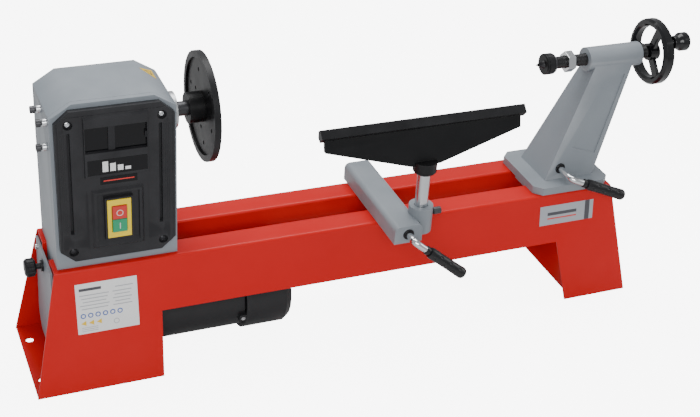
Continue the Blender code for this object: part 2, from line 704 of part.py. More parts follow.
def bearings():
    """Each bearing sits in a flanged housing; the right one's cap shows outside."""
    seat = BEARING_RADIUS + GAP
    start = HEAD_X + HEAD_WALL + GAP
    end = LEFT_BEARING_X + BEARING_WIDTH
    floor = LEFT_BEARING_X - GAP
    profile = [(start, 0), (start, HOUSING_RADIUS), (end, HOUSING_RADIUS), (end, seat),
               (floor, seat), (floor, 0)]
    place("left_bearing_housing", turned(profile, (0, 0, SPINDLE_Z), "X", 24), GREY)
    bearing("left_bearing", LEFT_BEARING_X)
    start = RIGHT_BEARING_X
    flange = HEAD_END + GAP
    step = start + BEARING_WIDTH + GAP
    bore = SHAFT_RADIUS + CAP_CLEARANCE
    profile = [(start, seat), (start, HOUSING_RADIUS), (flange, HOUSING_RADIUS),
               (flange, CAP_RADIUS), (flange + CAP_THICK, CAP_RADIUS),
               (flange + CAP_THICK, bore), (step, bore), (step, seat)]
    place("right_bearing_housing", turned(profile, (0, 0, SPINDLE_Z), "X", 24), ALUMINIUM)
    bearing("right_bearing", RIGHT_BEARING_X)


def stepped_pulley(radii, bore):
    """Profile of a stepped pulley, small shoulders between the belt tracks."""
    profile = [(PULLEY_X, bore)]
    for i, radius in enumerate(radii):
        profile.append((PULLEY_X + PULLEY_STEP * i, radius))
        profile.append((PULLEY_X + PULLEY_STEP * (i + 1), radius))
    return profile + [(PULLEY_END, bore)]


def spindle():
    axis = pivot("spindle_axis", (HEAD_MID, 0, SPINDLE_Z))
    centre = (0, 0, SPINDLE_Z)
    profile = [(LEFT_BEARING_X + GAP, 0), (LEFT_BEARING_X + GAP, SHAFT_RADIUS),
               (FACEPLATE_BACK - GAP, SHAFT_RADIUS), (FACEPLATE_BACK - GAP, 0)]
    place("spindle_shaft", turned(profile, centre, "X", 24), DARK_STEEL, axis.location, axis)
    bore = SHAFT_RADIUS + GAP
    place("spindle_pulley", turned(stepped_pulley(PULLEY_RADII, bore), centre, "X", 24),
          ALUMINIUM, axis.location, axis)
    web_back = FACEPLATE_FRONT - FACEPLATE_WEB
    rim = FACEPLATE_RADIUS - FACEPLATE_RIM
    profile = [(NOSE_END, bore), (NOSE_END, HUB_RADIUS), (web_back, HUB_RADIUS), (web_back, rim),
               (FACEPLATE_BACK, rim), (FACEPLATE_BACK, FACEPLATE_RADIUS),
               (FACEPLATE_FRONT, FACEPLATE_RADIUS), (FACEPLATE_FRONT, bore)]
    plate = turned(profile, centre, "X", 36)
    for radius, count in FACEPLATE_HOLES:
        for k in range(count):
            angle = math.tau * (k + 0.25) / count
            hole = (radius * math.cos(angle), SPINDLE_Z + radius * math.sin(angle))
            plate = cut(plate, cylinder(web_back - LAP, FACEPLATE_FRONT + LAP,
                                        FACEPLATE_HOLE_RADIUS, "X", hole, 8))
    place("faceplate", plate, BLACK, axis.location, axis)


def drive_belt():
    """Flat belt round the chosen step of both pulleys: two arcs and two straight runs."""
    middle = PULLEY_X + PULLEY_STEP * (BELT_STEP + 0.5)
    upper = PULLEY_RADII[BELT_STEP] + GAP
    lower = PULLEY_RADII[-1 - BELT_STEP] + GAP
    lean = math.degrees(math.asin((upper - lower) / (SPINDLE_Z - MOTOR_Z)))
    loops = []
    for extra in (BELT_THICK, 0):
        top = arc((0, SPINDLE_Z), upper + extra, -lean, 180 + lean, 16)
        bottom = arc((0, MOTOR_Z), lower + extra, 180 + lean, 360 - lean, 12)
        loops.append(top + bottom)
    start, end = middle - BELT_WIDTH / 2, middle + BELT_WIDTH / 2
    inside = prism(loops[1], "X", start - LAP, end + LAP)
    shape = cut(prism(loops[0], "X", start, end), inside)
    place("drive_belt", shape, BLACK)


# ---- motor ----------------------------------------------------------------------------
def motor_cradle():
    """Swinging sheet bracket: a cheek in the open leg, a web, and the motor's own cheek."""
    corner = CRADLE_ARM * 2
    cheek = [(-CRADLE_FRONT + corner, CRADLE_TOP), (PIVOT_Y + CRADLE_ARM, CRADLE_TOP),
             (CRADLE_BACK - CRADLE_ARM, CRADLE_WEB[1] + CRADLE_ARM),
             (CRADLE_BACK, CRADLE_WEB[0]), (CRADLE_BACK - CRADLE_ARM, CRADLE_FOOT + CRADLE_ARM),
             (CRADLE_BACK - corner, CRADLE_FOOT), (-CRADLE_FRONT + corner, CRADLE_FOOT),
             (-CRADLE_FRONT, CRADLE_FOOT + corner),
             (-CRADLE_FRONT + CRADLE_ARM, CRADLE_WEB[1])]
    left = prism(cheek, "X", CRADLE_X, CRADLE_X + CRADLE_SHEET)
    web_y = PULLEY_RADII[0] + BELT_THICK * 2
    web = box((CRADLE_X + LAP, web_y, CRADLE_WEB[0]),
              (CRADLE_END - LAP, web_y + CRADLE_SHEET, CRADLE_WEB[1]))
    reach = MOTOR_RADIUS * 0.8
    right = prism([(-reach, MOTOR_Z - reach), (web_y + CRADLE_SHEET, MOTOR_Z - reach),
                   (PIVOT_Y + CRADLE_ARM, PIVOT_Z - PIVOT_RADIUS * 1.5),
                   (PIVOT_Y + CRADLE_ARM, PIVOT_Z + CRADLE_ARM),
                   (PIVOT_Y - CRADLE_ARM, PIVOT_Z + CRADLE_ARM),
                   (PIVOT_Y - CRADLE_ARM, SLOT_FLOOR - CRADLE_SHEET * 4),
                   (-reach, MOTOR_Z + reach)], "X", CRADLE_END - CRADLE_SHEET, CRADLE_END)
    shape = join(left, web, right)
    shape = cut(shape,
                cylinder(CRADLE_X - LAP, CRADLE_END + LAP, PIVOT_RADIUS + GAP, "X",
                         (PIVOT_Y, PIVOT_Z), 16),
                cylinder(CRADLE_END - CRADLE_SHEET - LAP, CRADLE_END + LAP, ROTOR_RADIUS * 2,
                         "X", (0, MOTOR_Z), 16))
    slot = box((CRADLE_X - LAP, KNOB_Y - PIVOT_RADIUS * 1.5, KNOB_Z - PIVOT_RADIUS * 2.5),
               (CRADLE_X + CRADLE_SHEET + LAP, KNOB_Y + PIVOT_RADIUS * 1.5,
                KNOB_Z + PIVOT_RADIUS * 2.5))
    return cut(shape, slot)


def motor():
    swing = pivot("motor_swing_axis", (CRADLE_END / 2, PIVOT_Y, PIVOT_Z))
    place("motor_cradle", motor_cradle(), GREY, swing.location, swing)
    centre = (0, 0, MOTOR_Z)
    bore = ROTOR_RADIUS + GAP
    inner = MOTOR_RADIUS - MOTOR_WALL
    shield = MOTOR_X + MOTOR_WALL
    profile = [(MOTOR_X, bore), (MOTOR_X, MOTOR_RADIUS), (MOTOR_END, MOTOR_RADIUS),
               (MOTOR_END, inner), (shield, inner), (shield, bore)]
    place("motor_housing", turned(profile, centre, "X", 24), BLACK, swing.location, swing)
    start = MOTOR_END + GAP
    end = start + FAN_COVER_LENGTH - SHEET * 2
    profile = [(start, inner + MOTOR_WALL / 2), (start, FAN_COVER_RADIUS),
               (end - SHEET * 4, FAN_COVER_RADIUS), (end - SHEET, FAN_COVER_RADIUS - SHEET * 2),
               (end, MOTOR_RADIUS * 0.78), (end, 0), (end - SHEET, 0),
               (end - SHEET, MOTOR_RADIUS * 0.75),
               (end - SHEET * 3, FAN_COVER_RADIUS - SHEET * 3),
               (start + SHEET * 2, FAN_COVER_RADIUS - SHEET),
               (start + SHEET * 2, inner + MOTOR_WALL / 2)]
    place("motor_fan_cover", turned(profile, centre, "X", 24), BLACK, swing.location, swing)
    spin = pivot("motor_axis", (CRADLE_END / 2, 0, MOTOR_Z), swing)
    core = (shield + CORE_GAP, MOTOR_END - MOTOR_WALL)
    fan = (MOTOR_END + FAN_PLACE[0], MOTOR_END + FAN_PLACE[1])
    profile = [(PULLEY_X - LAP, 0), (PULLEY_X - LAP, ROTOR_RADIUS), (core[0], ROTOR_RADIUS),
               (core[0], CORE_RADIUS), (core[1], CORE_RADIUS), (core[1], ROTOR_RADIUS),
               (fan[0], ROTOR_RADIUS), (fan[0], inner), (fan[0] + SHEET, inner),
               (fan[1], ROTOR_RADIUS * 1.5), (fan[1], 0)]
    world = Vector((CRADLE_END / 2, 0, MOTOR_Z))
    rotor = place("motor_rotor", turned(profile, centre, "X", 20), STEEL, world)
    pulley = turned(stepped_pulley(PULLEY_RADII[::-1], bore), centre, "X", 24)
    pulley = place("motor_pulley", pulley, ALUMINIUM, world)
    for item in (rotor, pulley):
        item.parent = spin
        item.location = (0, 0, 0)


def pivot_pin_and_hangers():
    """Pin that the cradle swings on, hung below the back rail's top by two plates."""
    top = BED_HEIGHT - SHEET - GAP
    for name, x in (("left_pivot_hanger", CRADLE_X + CRADLE_SHEET * 2),
                    ("right_pivot_hanger", CRADLE_END - CRADLE_SHEET * 3)):
        half = PIVOT_RADIUS * 1.6
        plate = box((x, PIVOT_Y - half, PIVOT_Z - half), (x + CRADLE_SHEET, PIVOT_Y + half, top))
        plate = cut(plate, cylinder(x - LAP, x + CRADLE_SHEET + LAP, PIVOT_RADIUS + GAP, "X",
                                    (PIVOT_Y, PIVOT_Z), 16))
        place(name, plate, GREY)
    place("motor_pivot_pin", cylinder(CRADLE_X - CRADLE_SHEET, CRADLE_END + CRADLE_SHEET,
                                      PIVOT_RADIUS, "X", (PIVOT_Y, PIVOT_Z), 16), STEEL)


def tension_knob():
    face = CRADLE_X - GAP
    neck = face - KNOB_NECK
    end = neck - KNOB_LENGTH
    stud_end = HEAD_X + SHEET * 2
    profile = [(end, 0), (end, KNOB_RADIUS * 0.8), (end + SHEET, KNOB_RADIUS),
               (neck - SHEET, KNOB_RADIUS), (neck, KNOB_RADIUS * 0.7), (neck, PIVOT_RADIUS),
               (face - SHEET, PIVOT_RADIUS), (face - SHEET, KNOB_FLANGE),
               (face, KNOB_FLANGE), (face, PIVOT_RADIUS), (stud_end, PIVOT_RADIUS),
               (stud_end, 0)]
    origin = (face, KNOB_Y, KNOB_Z)
    place("tension_knob", turned(profile, (0, KNOB_Y, KNOB_Z), "X", 20), BLACK, origin)


# ---- clamping lever shared by the tool rest and the tailstock ------------------------
def cam_lever(prefix, x, faces, room, z, stand_off, turn, parent):
    """Cam bar through a casting, bent outside it into a rod with a moulded grip.

    faces are the casting's front and back, and room the ends of the hollow that the cam
    turns in; turn is the handle's angle below horizontal.
    """
    front, back = faces
    angle = math.radians(turn)
    out = math.radians(LEVER_TILT)
    ahead = Vector((math.cos(angle) * math.cos(out), -math.sin(out),
                    -math.sin(angle) * math.cos(out)))
    start = Vector((x, front - stand_off, z))
    bend = LEVER_BEND
    path = [(x, back - LAP, z), (x, room[1] - GAP, z), (x, room[1] - GAP * 2, z + CAM_THROW),
            (x, room[0] + GAP * 2, z + CAM_THROW), (x, room[0] + GAP, z), (x, start.y + bend, z)]
    radii = [CAM_RADIUS - CAM_THROW, CAM_RADIUS - CAM_THROW, CAM_RADIUS, CAM_RADIUS,
             ROD_RADIUS, ROD_RADIUS]
    for k in range(1, 6):
        share = k / 5
        before = Vector((0, -1, 0)) * bend * (1 - share)
        after = ahead * bend * share
        path.append(start - before * (1 - share) + after * share)
        radii.append(ROD_RADIUS)
    rod_end = start + ahead * LEVER_ROD
    path.append(rod_end)
    radii.append(ROD_RADIUS)
    origin = (x, front, z)
    hinge = pivot(prefix + "_lever_axis", origin)
    place(prefix + "_lever_rod", swept(path, radii, 12), STEEL, origin, hinge)
    grip = [rod_end + ahead * (GAP + GRIP_LENGTH * share) for share in (0, 0.03, 0.12, 0.5, 0.9, 1)]
    size = [GRIP_RADIUS * share for share in (0.75, 0.9, 0.88, 0.95, 1, 0.8)]
    place(prefix + "_lever_grip", swept(grip, size, 16), BLACK, origin, hinge)
    hinge.parent = parent
    hinge.location = Vector(origin) - parent.location
    bpy.context.view_layer.update()
    return hinge


def bush(x, front, z):
    inner = ROD_RADIUS + GAP
    profile = [(front - LAP, inner), (front - LAP, BUSH_RADIUS), (front + BUSH_LENGTH, BUSH_RADIUS),
               (front + BUSH_LENGTH, inner)]
    return turned(profile, (x, 0, z), "Y", 16)


def clamp_bolt(x, z):
    """Eye bolt: hexagon head under the clamp plate, shank through the slot, eye on the cam."""
    head = CLAMP_BOTTOM - GAP
    shank = turned([(head - SHEET, 0), (head - SHEET, BOLT_HEAD), (head, BOLT_HEAD),
                    (head, BOLT_RADIUS), (z - EYE_BORE - LAP, BOLT_RADIUS),
                    (z - EYE_BORE - LAP, 0)], (x, 0, 0), "Z", 16)
    eye = cylinder(-BOLT_RADIUS, BOLT_RADIUS, EYE_RADIUS, "Y", (x, z), 20)
    hole = cylinder(-BOLT_RADIUS - LAP, BOLT_RADIUS + LAP, EYE_BORE, "Y", (x, z), 20)
    return cut(join(shank, eye), hole)


def clamp_plate(x):
    half = BANJO_HALF
    plate = box((x - half, -CLAMP_HALF, CLAMP_BOTTOM), (x + half, CLAMP_HALF, CLAMP_TOP))
    return cut(plate, cylinder(CLAMP_BOTTOM - LAP, CLAMP_TOP + LAP, BOLT_RADIUS + GAP, "Z",
                               (x, 0), 16))


# ---- tool rest ------------------------------------------------------------------------
def banjo_body():
    """Casting that spans the bed, with a channel for the cam and a boss for the post."""
    low, top = BED_HEIGHT + GAP, BANJO_TOP
    round_edge = BANJO_HEIGHT * 0.3
    profile = [(BANJO_X - BANJO_HALF, low)]
    profile += arc((BANJO_X - BANJO_HALF + round_edge, top - round_edge), round_edge, 180, 90, 4)
    profile += arc((BANJO_X + BANJO_HALF - round_edge, top - round_edge), round_edge, 90, 0, 4)
    profile += [(BANJO_X + BANJO_HALF, low)]
    shape = prism(profile, "Y", -BANJO_FRONT, BANJO_BACK)
    boss = cylinder(low, BOSS_TOP, BOSS_RADIUS, "Z", (POST_X, BOSS_Y), 24)
    bridge = box((BANJO_X, BOSS_Y - BOSS_RADIUS * 0.8, low),
                 (POST_X, BOSS_Y + BOSS_RADIUS * 0.8, top - CASTING_WALL))
    shape = join(shape, boss, bridge)
    half = EYE_RADIUS + LAP
    channel = box((BANJO_X - half, BANJO_ROOM[0], low - LAP),
                  (BANJO_X + half, BANJO_ROOM[1], top - CASTING_WALL))
    return cut(shape, channel,
               cylinder(low - LAP, BOSS_TOP + LAP, POST_RADIUS + GAP, "Z", (POST_X, BOSS_Y), 24),
               cylinder(-BANJO_FRONT - LAP, BANJO_ROOM[0] + LAP, BUSH_RADIUS + GAP, "Y",
                        (BANJO_X, CAM_Z), 16),
               cylinder(BANJO_ROOM[1] - LAP, BANJO_BACK + LAP, CAM_RADIUS, "Y",
                        (BANJO_X, CAM_Z), 16),
               cylinder(POST_X, POST_X + BOSS_RADIUS + LAP, REST_SCREW_RADIUS + GAP, "X",
                        (BOSS_Y, REST_SCREW_Z), 12))


def tool_rest():
    """Bar with a sloping front face on a leaning web, and the collar that holds the post."""
    x0, x1 = POST_X - REST_LENGTH / 2, POST_X + REST_LENGTH / 2
    edge_y = BOSS_Y + REST_WEB_LEAN
    bar = prism([(edge_y, REST_Z), (edge_y - REST_BAR, REST_Z - REST_BAR),
                 (edge_y - REST_BAR * 0.1, REST_Z - REST_BAR * 2),
                 (edge_y + REST_BAR * 0.7, REST_Z - REST_BAR * 1.6),
                 (edge_y + REST_BAR * 0.7, REST_Z - REST_BAR * 0.5)], "X", x0, x1)
    web_top = REST_Z - REST_BAR * 1.4
    web_bottom = COLLAR_TOP - REST_WEB
    end_bottom = web_top - REST_END_DROP
    flat = COLLAR_RADIUS * 1.3
    inset = REST_WEB
    outline = [(x0 + inset, web_top), (x0 + inset, end_bottom), (POST_X - flat, web_bottom),
               (POST_X + flat, web_bottom), (x1 - inset, end_bottom), (x1 - inset, web_top)]
    web = prism(outline, "Y", BOSS_Y - REST_WEB / 2, BOSS_Y + REST_WEB / 2)
    for vertex in web.verts:
        share = (vertex.co.z - web_bottom) / (web_top - web_bottom)
        vertex.co.y += REST_WEB_LEAN * share
    neck = COLLAR_RADIUS * 0.85
    collar = turned([(COLLAR_BOTTOM, 0), (COLLAR_BOTTOM, neck),
                     (COLLAR_BOTTOM + SHEET, COLLAR_RADIUS), (COLLAR_TOP, COLLAR_RADIUS),
                     (COLLAR_TOP, 0)], (POST_X, BOSS_Y, 0), "Z", 24)
    hole = cylinder(COLLAR_BOTTOM - LAP, POST_BOTTOM + POST_LENGTH + GAP, POST_RADIUS + GAP, "Z",
                    (POST_X, BOSS_Y), 24)
    return cut(join(bar, web, collar), hole)


def build_tool_rest():
    swivel = pivot("banjo_swivel_axis", (BANJO_X, 0, BED_HEIGHT))
    place("banjo_clamp_plate", clamp_plate(BANJO_X), STEEL, (BANJO_X, 0, CLAMP_TOP))
    place("banjo_clamp_bolt", clamp_bolt(BANJO_X, CAM_Z), STEEL, swivel.location, swivel)
    place("banjo_body", banjo_body(), GREY, swivel.location, swivel)
    place("banjo_bush", bush(BANJO_X, -BANJO_FRONT, CAM_Z), BLACK, swivel.location, swivel)
    cam_lever("banjo", BANJO_X, (-BANJO_FRONT, BANJO_BACK), BANJO_ROOM, CAM_Z,
              BANJO_LEVER_OUT, BANJO_LEVER_TURN, swivel)
    post_axis = (POST_X, BOSS_Y, BOSS_TOP)
    post = cylinder(POST_BOTTOM, POST_BOTTOM + POST_LENGTH, POST_RADIUS, "Z", (POST_X, BOSS_Y), 24)
    place("rest_post", post, STEEL, post_axis, swivel)
    place("tool_rest", tool_rest(), BLACK, post_axis, swivel)
    start = POST_X + POST_RADIUS + GAP * 2
    head = POST_X + BOSS_RADIUS + GAP
    end = head + REST_SCREW_REACH
    screw = turned([(start, 0), (start, REST_SCREW_RADIUS), (head + LAP * 2, REST_SCREW_RADIUS),
                    (head + LAP * 2, REST_SCREW_HEAD), (end, REST_SCREW_HEAD), (end, 0)],
                   (0, BOSS_Y, REST_SCREW_Z), "X", 12)
    place("rest_lock_screw", screw, DARK_STEEL, (head, BOSS_Y, REST_SCREW_Z), swivel)


# ---- tailstock ------------------------------------------------------------------------
def column_face(z):
    """Left, right and half width of the leaning column at a height."""
    share = (z - TAIL_BASE_TOP) / (SPINDLE_Z - TAIL_BASE_TOP)
    return [a + (b - a) * share for a, b in zip(COLUMN_FOOT, COLUMN_HEAD)]


def tail_room():
    """Front and back of the hollow in the column's foot that the cam turns in."""
    half = column_face(TAIL_ROOF)[2] - BUSH_LENGTH
    return -half, half


def tailstock_body():
    low = BED_HEIGHT + GAP
    corner = TAIL_BASE
    x0, x1 = TAIL_X - TAIL_HALF_LENGTH, TAIL_X + TAIL_HALF_LENGTH
    half = TAIL_HALF_WIDTH
    outline = [(x0 + corner, -half), (x1 - corner, -half), (x1, -half + corner),
               (x1, half - corner), (x1 - corner, half), (x0 + corner, half),
               (x0, half - corner), (x0, -half + corner)]
    base = prism(outline, "Z", low, TAIL_BASE_TOP)
    column = bmesh.new()
    rings = []
    for z in (low + corner / 2, SPINDLE_Z - BARREL_RADIUS * 0.3):
        left, right, width = column_face(z)
        rings.append([column.verts.new((TAIL_X + x, y, z))
                      for x, y in ((left, -width), (right, -width), (right, width), (left, width))])
    for k in range(4):
        column.faces.new((rings[0][k - 1], rings[0][k], rings[1][k], rings[1][k - 1]))
    column.faces.new(rings[0])
    column.faces.new(rings[1])
    bmesh.ops.recalc_face_normals(column, faces=column.faces)
    barrel = cylinder(BARREL_X, BARREL_END, BARREL_RADIUS, "X", (0, SPINDLE_Z), 32)
    shape = join(base, column, barrel)
    for start, end in TONGUES:
        shape = join(shape, box((TAIL_X + start, -SLOT_HALF + GAP * 2, low - TONGUE_DEPTH),
                                (TAIL_X + end, SLOT_HALF - GAP * 2, low + LAP)))
    front = -column_face(TAIL_CAM_Z)[2]
    inner = tail_room()[1]
    cavity = box((TAIL_BOLT_X - EYE_RADIUS - LAP, -inner, low - LAP),
                 (TAIL_BOLT_X + EYE_RADIUS + LAP * 2, inner, TAIL_ROOF))
    return cut(shape, cavity,
               cylinder(BARREL_X - LAP, BARREL_END + LAP, SCREW_RADIUS + GAP, "X",
                        (0, SPINDLE_Z), 24),
               cylinder(front - LAP * 3, -inner + LAP, BUSH_RADIUS + GAP, "Y",
                        (TAIL_BOLT_X, TAIL_CAM_Z), 16),
               cylinder(inner - LAP, -front + LAP * 3, CAM_RADIUS, "Y",
                        (TAIL_BOLT_X, TAIL_CAM_Z), 16))


def live_centre():
    """Cone and head, bored from behind for its bearing."""
    rear = SCREW_X
    profile = [(CENTRE_X - CENTRE_CONE, 0), (CENTRE_X, CENTRE_RADIUS * 0.42),
               (CENTRE_X, CENTRE_RADIUS * 0.92), (CENTRE_X + LAP, CENTRE_RADIUS),
               (rear - SHEET, CENTRE_RADIUS), (rear, CENTRE_RADIUS * 0.9), (rear, CENTRE_BORE),
               (CENTRE_X + SHEET, CENTRE_BORE), (CENTRE_X + SHEET, 0)]
    return turned(profile, (0, 0, SPINDLE_Z), "X", 28)


def centre_bearing():
    inner = SPIGOT_RADIUS + GAP
    outer = CENTRE_BORE - GAP
    start, end = CENTRE_X + SHEET + GAP * 4, SCREW_X - LAP
    return turned([(start, inner), (start, outer), (end, outer), (end, inner)],
                  (0, 0, SPINDLE_Z), "X", 20)


def tail_screw():
    """Threaded bar: spigot in the live centre, thread through the barrel, wheel seat."""
    tip = CENTRE_X + SHEET + GAP * 3
    seat = WHEEL_X - LAP * 2
    profile = [(tip, 0), (tip, SPIGOT_RADIUS), (SCREW_X + GAP * 2, SPIGOT_RADIUS),
               (SCREW_X + GAP * 2, SCREW_RADIUS), (seat, SCREW_RADIUS), (seat, SPIGOT_RADIUS),
               (WHEEL_END - LAP, SPIGOT_RADIUS), (WHEEL_END - LAP, 0)]
    return turned(profile, (0, 0, SPINDLE_Z), "X", 24)


def lock_nut():
    start = TAIL_X + LOCK_NUT_START
    corner = LOCK_NUT_FLATS / math.sqrt(3)
    hexagon = [(corner * math.cos(math.tau * (k + 0.25) / 6),
                SPINDLE_Z + corner * math.sin(math.tau * (k + 0.25) / 6)) for k in range(6)]
    nut = prism(hexagon, "X", start, start + LOCK_NUT_THICK)
    return cut(nut, cylinder(start - LAP, start + LOCK_NUT_THICK + LAP, SCREW_RADIUS + GAP, "X",
                             (0, SPINDLE_Z), 24))


def knob_centre():
    angle = math.radians(WHEEL_KNOB_ANGLE)
    radius = WHEEL_RADIUS - WHEEL_KNOB_INSET
    return radius * math.cos(angle), SPINDLE_Z + radius * math.sin(angle)


def handwheel():
    """Rim, three spokes and a hub; a hole in the rim takes the crank knob's stem."""
    inner = WHEEL_RADIUS - WHEEL_RIM
    edge = WHEEL_RIM * 0.3
    rim = turned([(WHEEL_X, inner + edge), (WHEEL_X, WHEEL_RADIUS - edge),
                  (WHEEL_X + edge, WHEEL_RADIUS), (WHEEL_END - edge, WHEEL_RADIUS),
                  (WHEEL_END, WHEEL_RADIUS - edge), (WHEEL_END, inner + edge),
                  (WHEEL_END - edge, inner), (WHEEL_X + edge, inner)], (0, 0, SPINDLE_Z), "X", 28)
    shape = cylinder(WHEEL_X, WHEEL_END - LAP * 2, WHEEL_HUB, "X", (0, SPINDLE_Z), 20)
    for k in range(3):
        spoke = box((WHEEL_X + edge, WHEEL_HUB / 2, -WHEEL_SPOKE / 2),
                    (WHEEL_X + edge * 2.6, inner + edge, WHEEL_SPOKE / 2))
        angle = math.radians(SPOKE_ANGLE + 120 * k)
        bmesh.ops.rotate(spoke, verts=spoke.verts, cent=(0, 0, 0),
                         matrix=Matrix.Rotation(angle, 3, "X"))
        bmesh.ops.translate(spoke, verts=spoke.verts, vec=(0, 0, SPINDLE_Z))
        shape = join(shape, spoke)
    shape = join(shape, rim)
    return cut(shape,
               cylinder(WHEEL_X - LAP, WHEEL_END + LAP, SPIGOT_RADIUS + GAP, "X",
                        (0, SPINDLE_Z), 20),
               cylinder(WHEEL_END - WHEEL_WIDTH / 2, WHEEL_END + LAP, PIVOT_RADIUS + GAP, "X",
                        knob_centre(), 12))


def wheel_knob():
    radius = WHEEL_KNOB_RADIUS
    stem = WHEEL_END - WHEEL_WIDTH / 2 + GAP
    start = WHEEL_END + GAP
    end = start + WHEEL_KNOB_LENGTH
    y, z = knob_centre()
    profile = [(stem, 0), (stem, PIVOT_RADIUS), (start, PIVOT_RADIUS), (start, radius * 0.7),
               (start + radius * 0.5, radius * 0.75), (start + radius * 0.8, radius),
               (end - SHEET * 0.7, radius), (end, radius * 0.8), (end, 0)]
    return turned(profile, (0, y, z), "X", 20)


def build_tailstock():
    frame = pivot("tailstock_axis", (TAIL_X, 0, SPINDLE_Z))
    place("tailstock_body", tailstock_body(), GREY, frame.location, frame)
    place("tailstock_clamp_plate", clamp_plate(TAIL_BOLT_X), STEEL, frame.location, frame)
    place("tailstock_clamp_bolt", clamp_bolt(TAIL_BOLT_X, TAIL_CAM_Z), STEEL, frame.location, frame)
    front = -column_face(TAIL_CAM_Z)[2]
    place("tailstock_bush", bush(TAIL_BOLT_X, front, TAIL_CAM_Z), BLACK, frame.location,
          frame)
    cam_lever("tailstock", TAIL_BOLT_X, (front, -front), tail_room(), TAIL_CAM_Z,
              TAIL_LEVER_OUT, TAIL_LEVER_TURN, frame)
    for name, shape, look in (("centre_bearing", centre_bearing(), STEEL),
                              ("live_centre", live_centre(), DARK_STEEL),
                              ("tail_screw", tail_screw(), DARK_STEEL),
                              ("centre_lock_nut", lock_nut(), STEEL),
                              ("handwheel", handwheel(), BLACK)):
        place(name, shape, look, frame.location, frame)
    y, z = knob_centre()
    place("handwheel_knob", wheel_knob(), BLACK, (WHEEL_END, y, z), frame)


clear_scene()
build_bed()
build_headstock()
bearings()
spindle()
drive_belt()
motor()
pivot_pin_and_hangers()
tension_knob()
build_tool_rest()
build_tailstock()
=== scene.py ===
"""Looks of a bench-top wood lathe, built piece by piece round its fixed CAD frame.

X runs along the bed from the headstock, Y away from the operator, Z up, in metres.
"""
import json
import math

import bmesh
import bpy
from mathutils import Matrix, Vector

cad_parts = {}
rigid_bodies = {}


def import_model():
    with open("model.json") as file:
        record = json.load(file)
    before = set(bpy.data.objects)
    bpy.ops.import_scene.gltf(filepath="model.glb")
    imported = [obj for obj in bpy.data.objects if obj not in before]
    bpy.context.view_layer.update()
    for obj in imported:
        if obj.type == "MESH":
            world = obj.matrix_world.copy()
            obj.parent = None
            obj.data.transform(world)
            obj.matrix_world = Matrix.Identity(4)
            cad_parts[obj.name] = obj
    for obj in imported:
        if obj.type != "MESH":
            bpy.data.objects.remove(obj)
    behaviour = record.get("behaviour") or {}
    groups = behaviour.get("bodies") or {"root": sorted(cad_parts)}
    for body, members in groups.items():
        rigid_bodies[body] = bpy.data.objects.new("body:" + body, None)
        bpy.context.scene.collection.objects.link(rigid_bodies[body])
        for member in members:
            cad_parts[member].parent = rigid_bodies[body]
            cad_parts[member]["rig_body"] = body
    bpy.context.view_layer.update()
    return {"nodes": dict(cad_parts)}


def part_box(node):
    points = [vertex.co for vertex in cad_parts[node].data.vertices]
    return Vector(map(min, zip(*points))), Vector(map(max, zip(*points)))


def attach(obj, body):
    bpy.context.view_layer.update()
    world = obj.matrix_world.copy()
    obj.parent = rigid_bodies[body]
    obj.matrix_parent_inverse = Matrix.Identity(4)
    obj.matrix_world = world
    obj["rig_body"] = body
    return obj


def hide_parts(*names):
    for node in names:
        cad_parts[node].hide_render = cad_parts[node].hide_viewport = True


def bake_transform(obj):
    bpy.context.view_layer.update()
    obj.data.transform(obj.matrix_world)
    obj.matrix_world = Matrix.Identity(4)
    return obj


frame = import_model()

# ---- Camera and studio --------------------------------------------------------------------
# A long lens looks down on the lathe from the operator's left.  The floor is a pale sheet
# and the room is white, with one large soft lamp above the operator.
camera = bpy.data.objects.new("camera", bpy.data.cameras.new("camera"))
bpy.context.scene.collection.objects.link(camera)
camera.data.sensor_width = 36.0
camera.data.lens = 69.88
camera.data.clip_end = 50.0
turn, pitch, roll = math.radians(-23.871), math.radians(-31.099), math.radians(-4.060)
aim = Matrix.Rotation(turn, 4, "Z") @ Matrix.Rotation(pitch, 4, "X") @ Matrix.Rotation(roll, 4, "Y")
camera.matrix_world = (Matrix.Translation((-0.24564, -1.55709, 1.19999)) @ aim
                       @ Matrix.Rotation(math.pi / 2, 4, "X"))
bpy.context.scene.camera = camera

world = bpy.data.worlds.new("white_room")
world.use_nodes = True
world.node_tree.nodes["Background"].inputs["Color"].default_value = (0.95, 0.97, 1.0, 1)
world.node_tree.nodes["Background"].inputs["Strength"].default_value = 0.55
bpy.context.scene.world = world


def soft_lamp(name, place, target, size, power):
    lamp = bpy.data.objects.new(name, bpy.data.lights.new(name, "AREA"))
    bpy.context.scene.collection.objects.link(lamp)
    lamp.data.shape = "RECTANGLE"
    lamp.data.size, lamp.data.size_y = size
    lamp.data.energy = power
    lamp.location = place
    lamp.rotation_euler = (Vector(target) - Vector(place)).to_track_quat("-Z", "Y").to_euler()


soft_lamp("front_lamp", (-0.5, -2.2, 1.5), (0.4, 0, 0.2), (1.8, 1.2), 40)
soft_lamp("top_lamp", (0.6, 0.7, 2.2), (0.4, 0, 0.2), (2.0, 1.4), 52)
soft_lamp("side_lamp", (2.4, -0.6, 1.0), (0.7, 0, 0.2), (1.2, 1.2), 9)

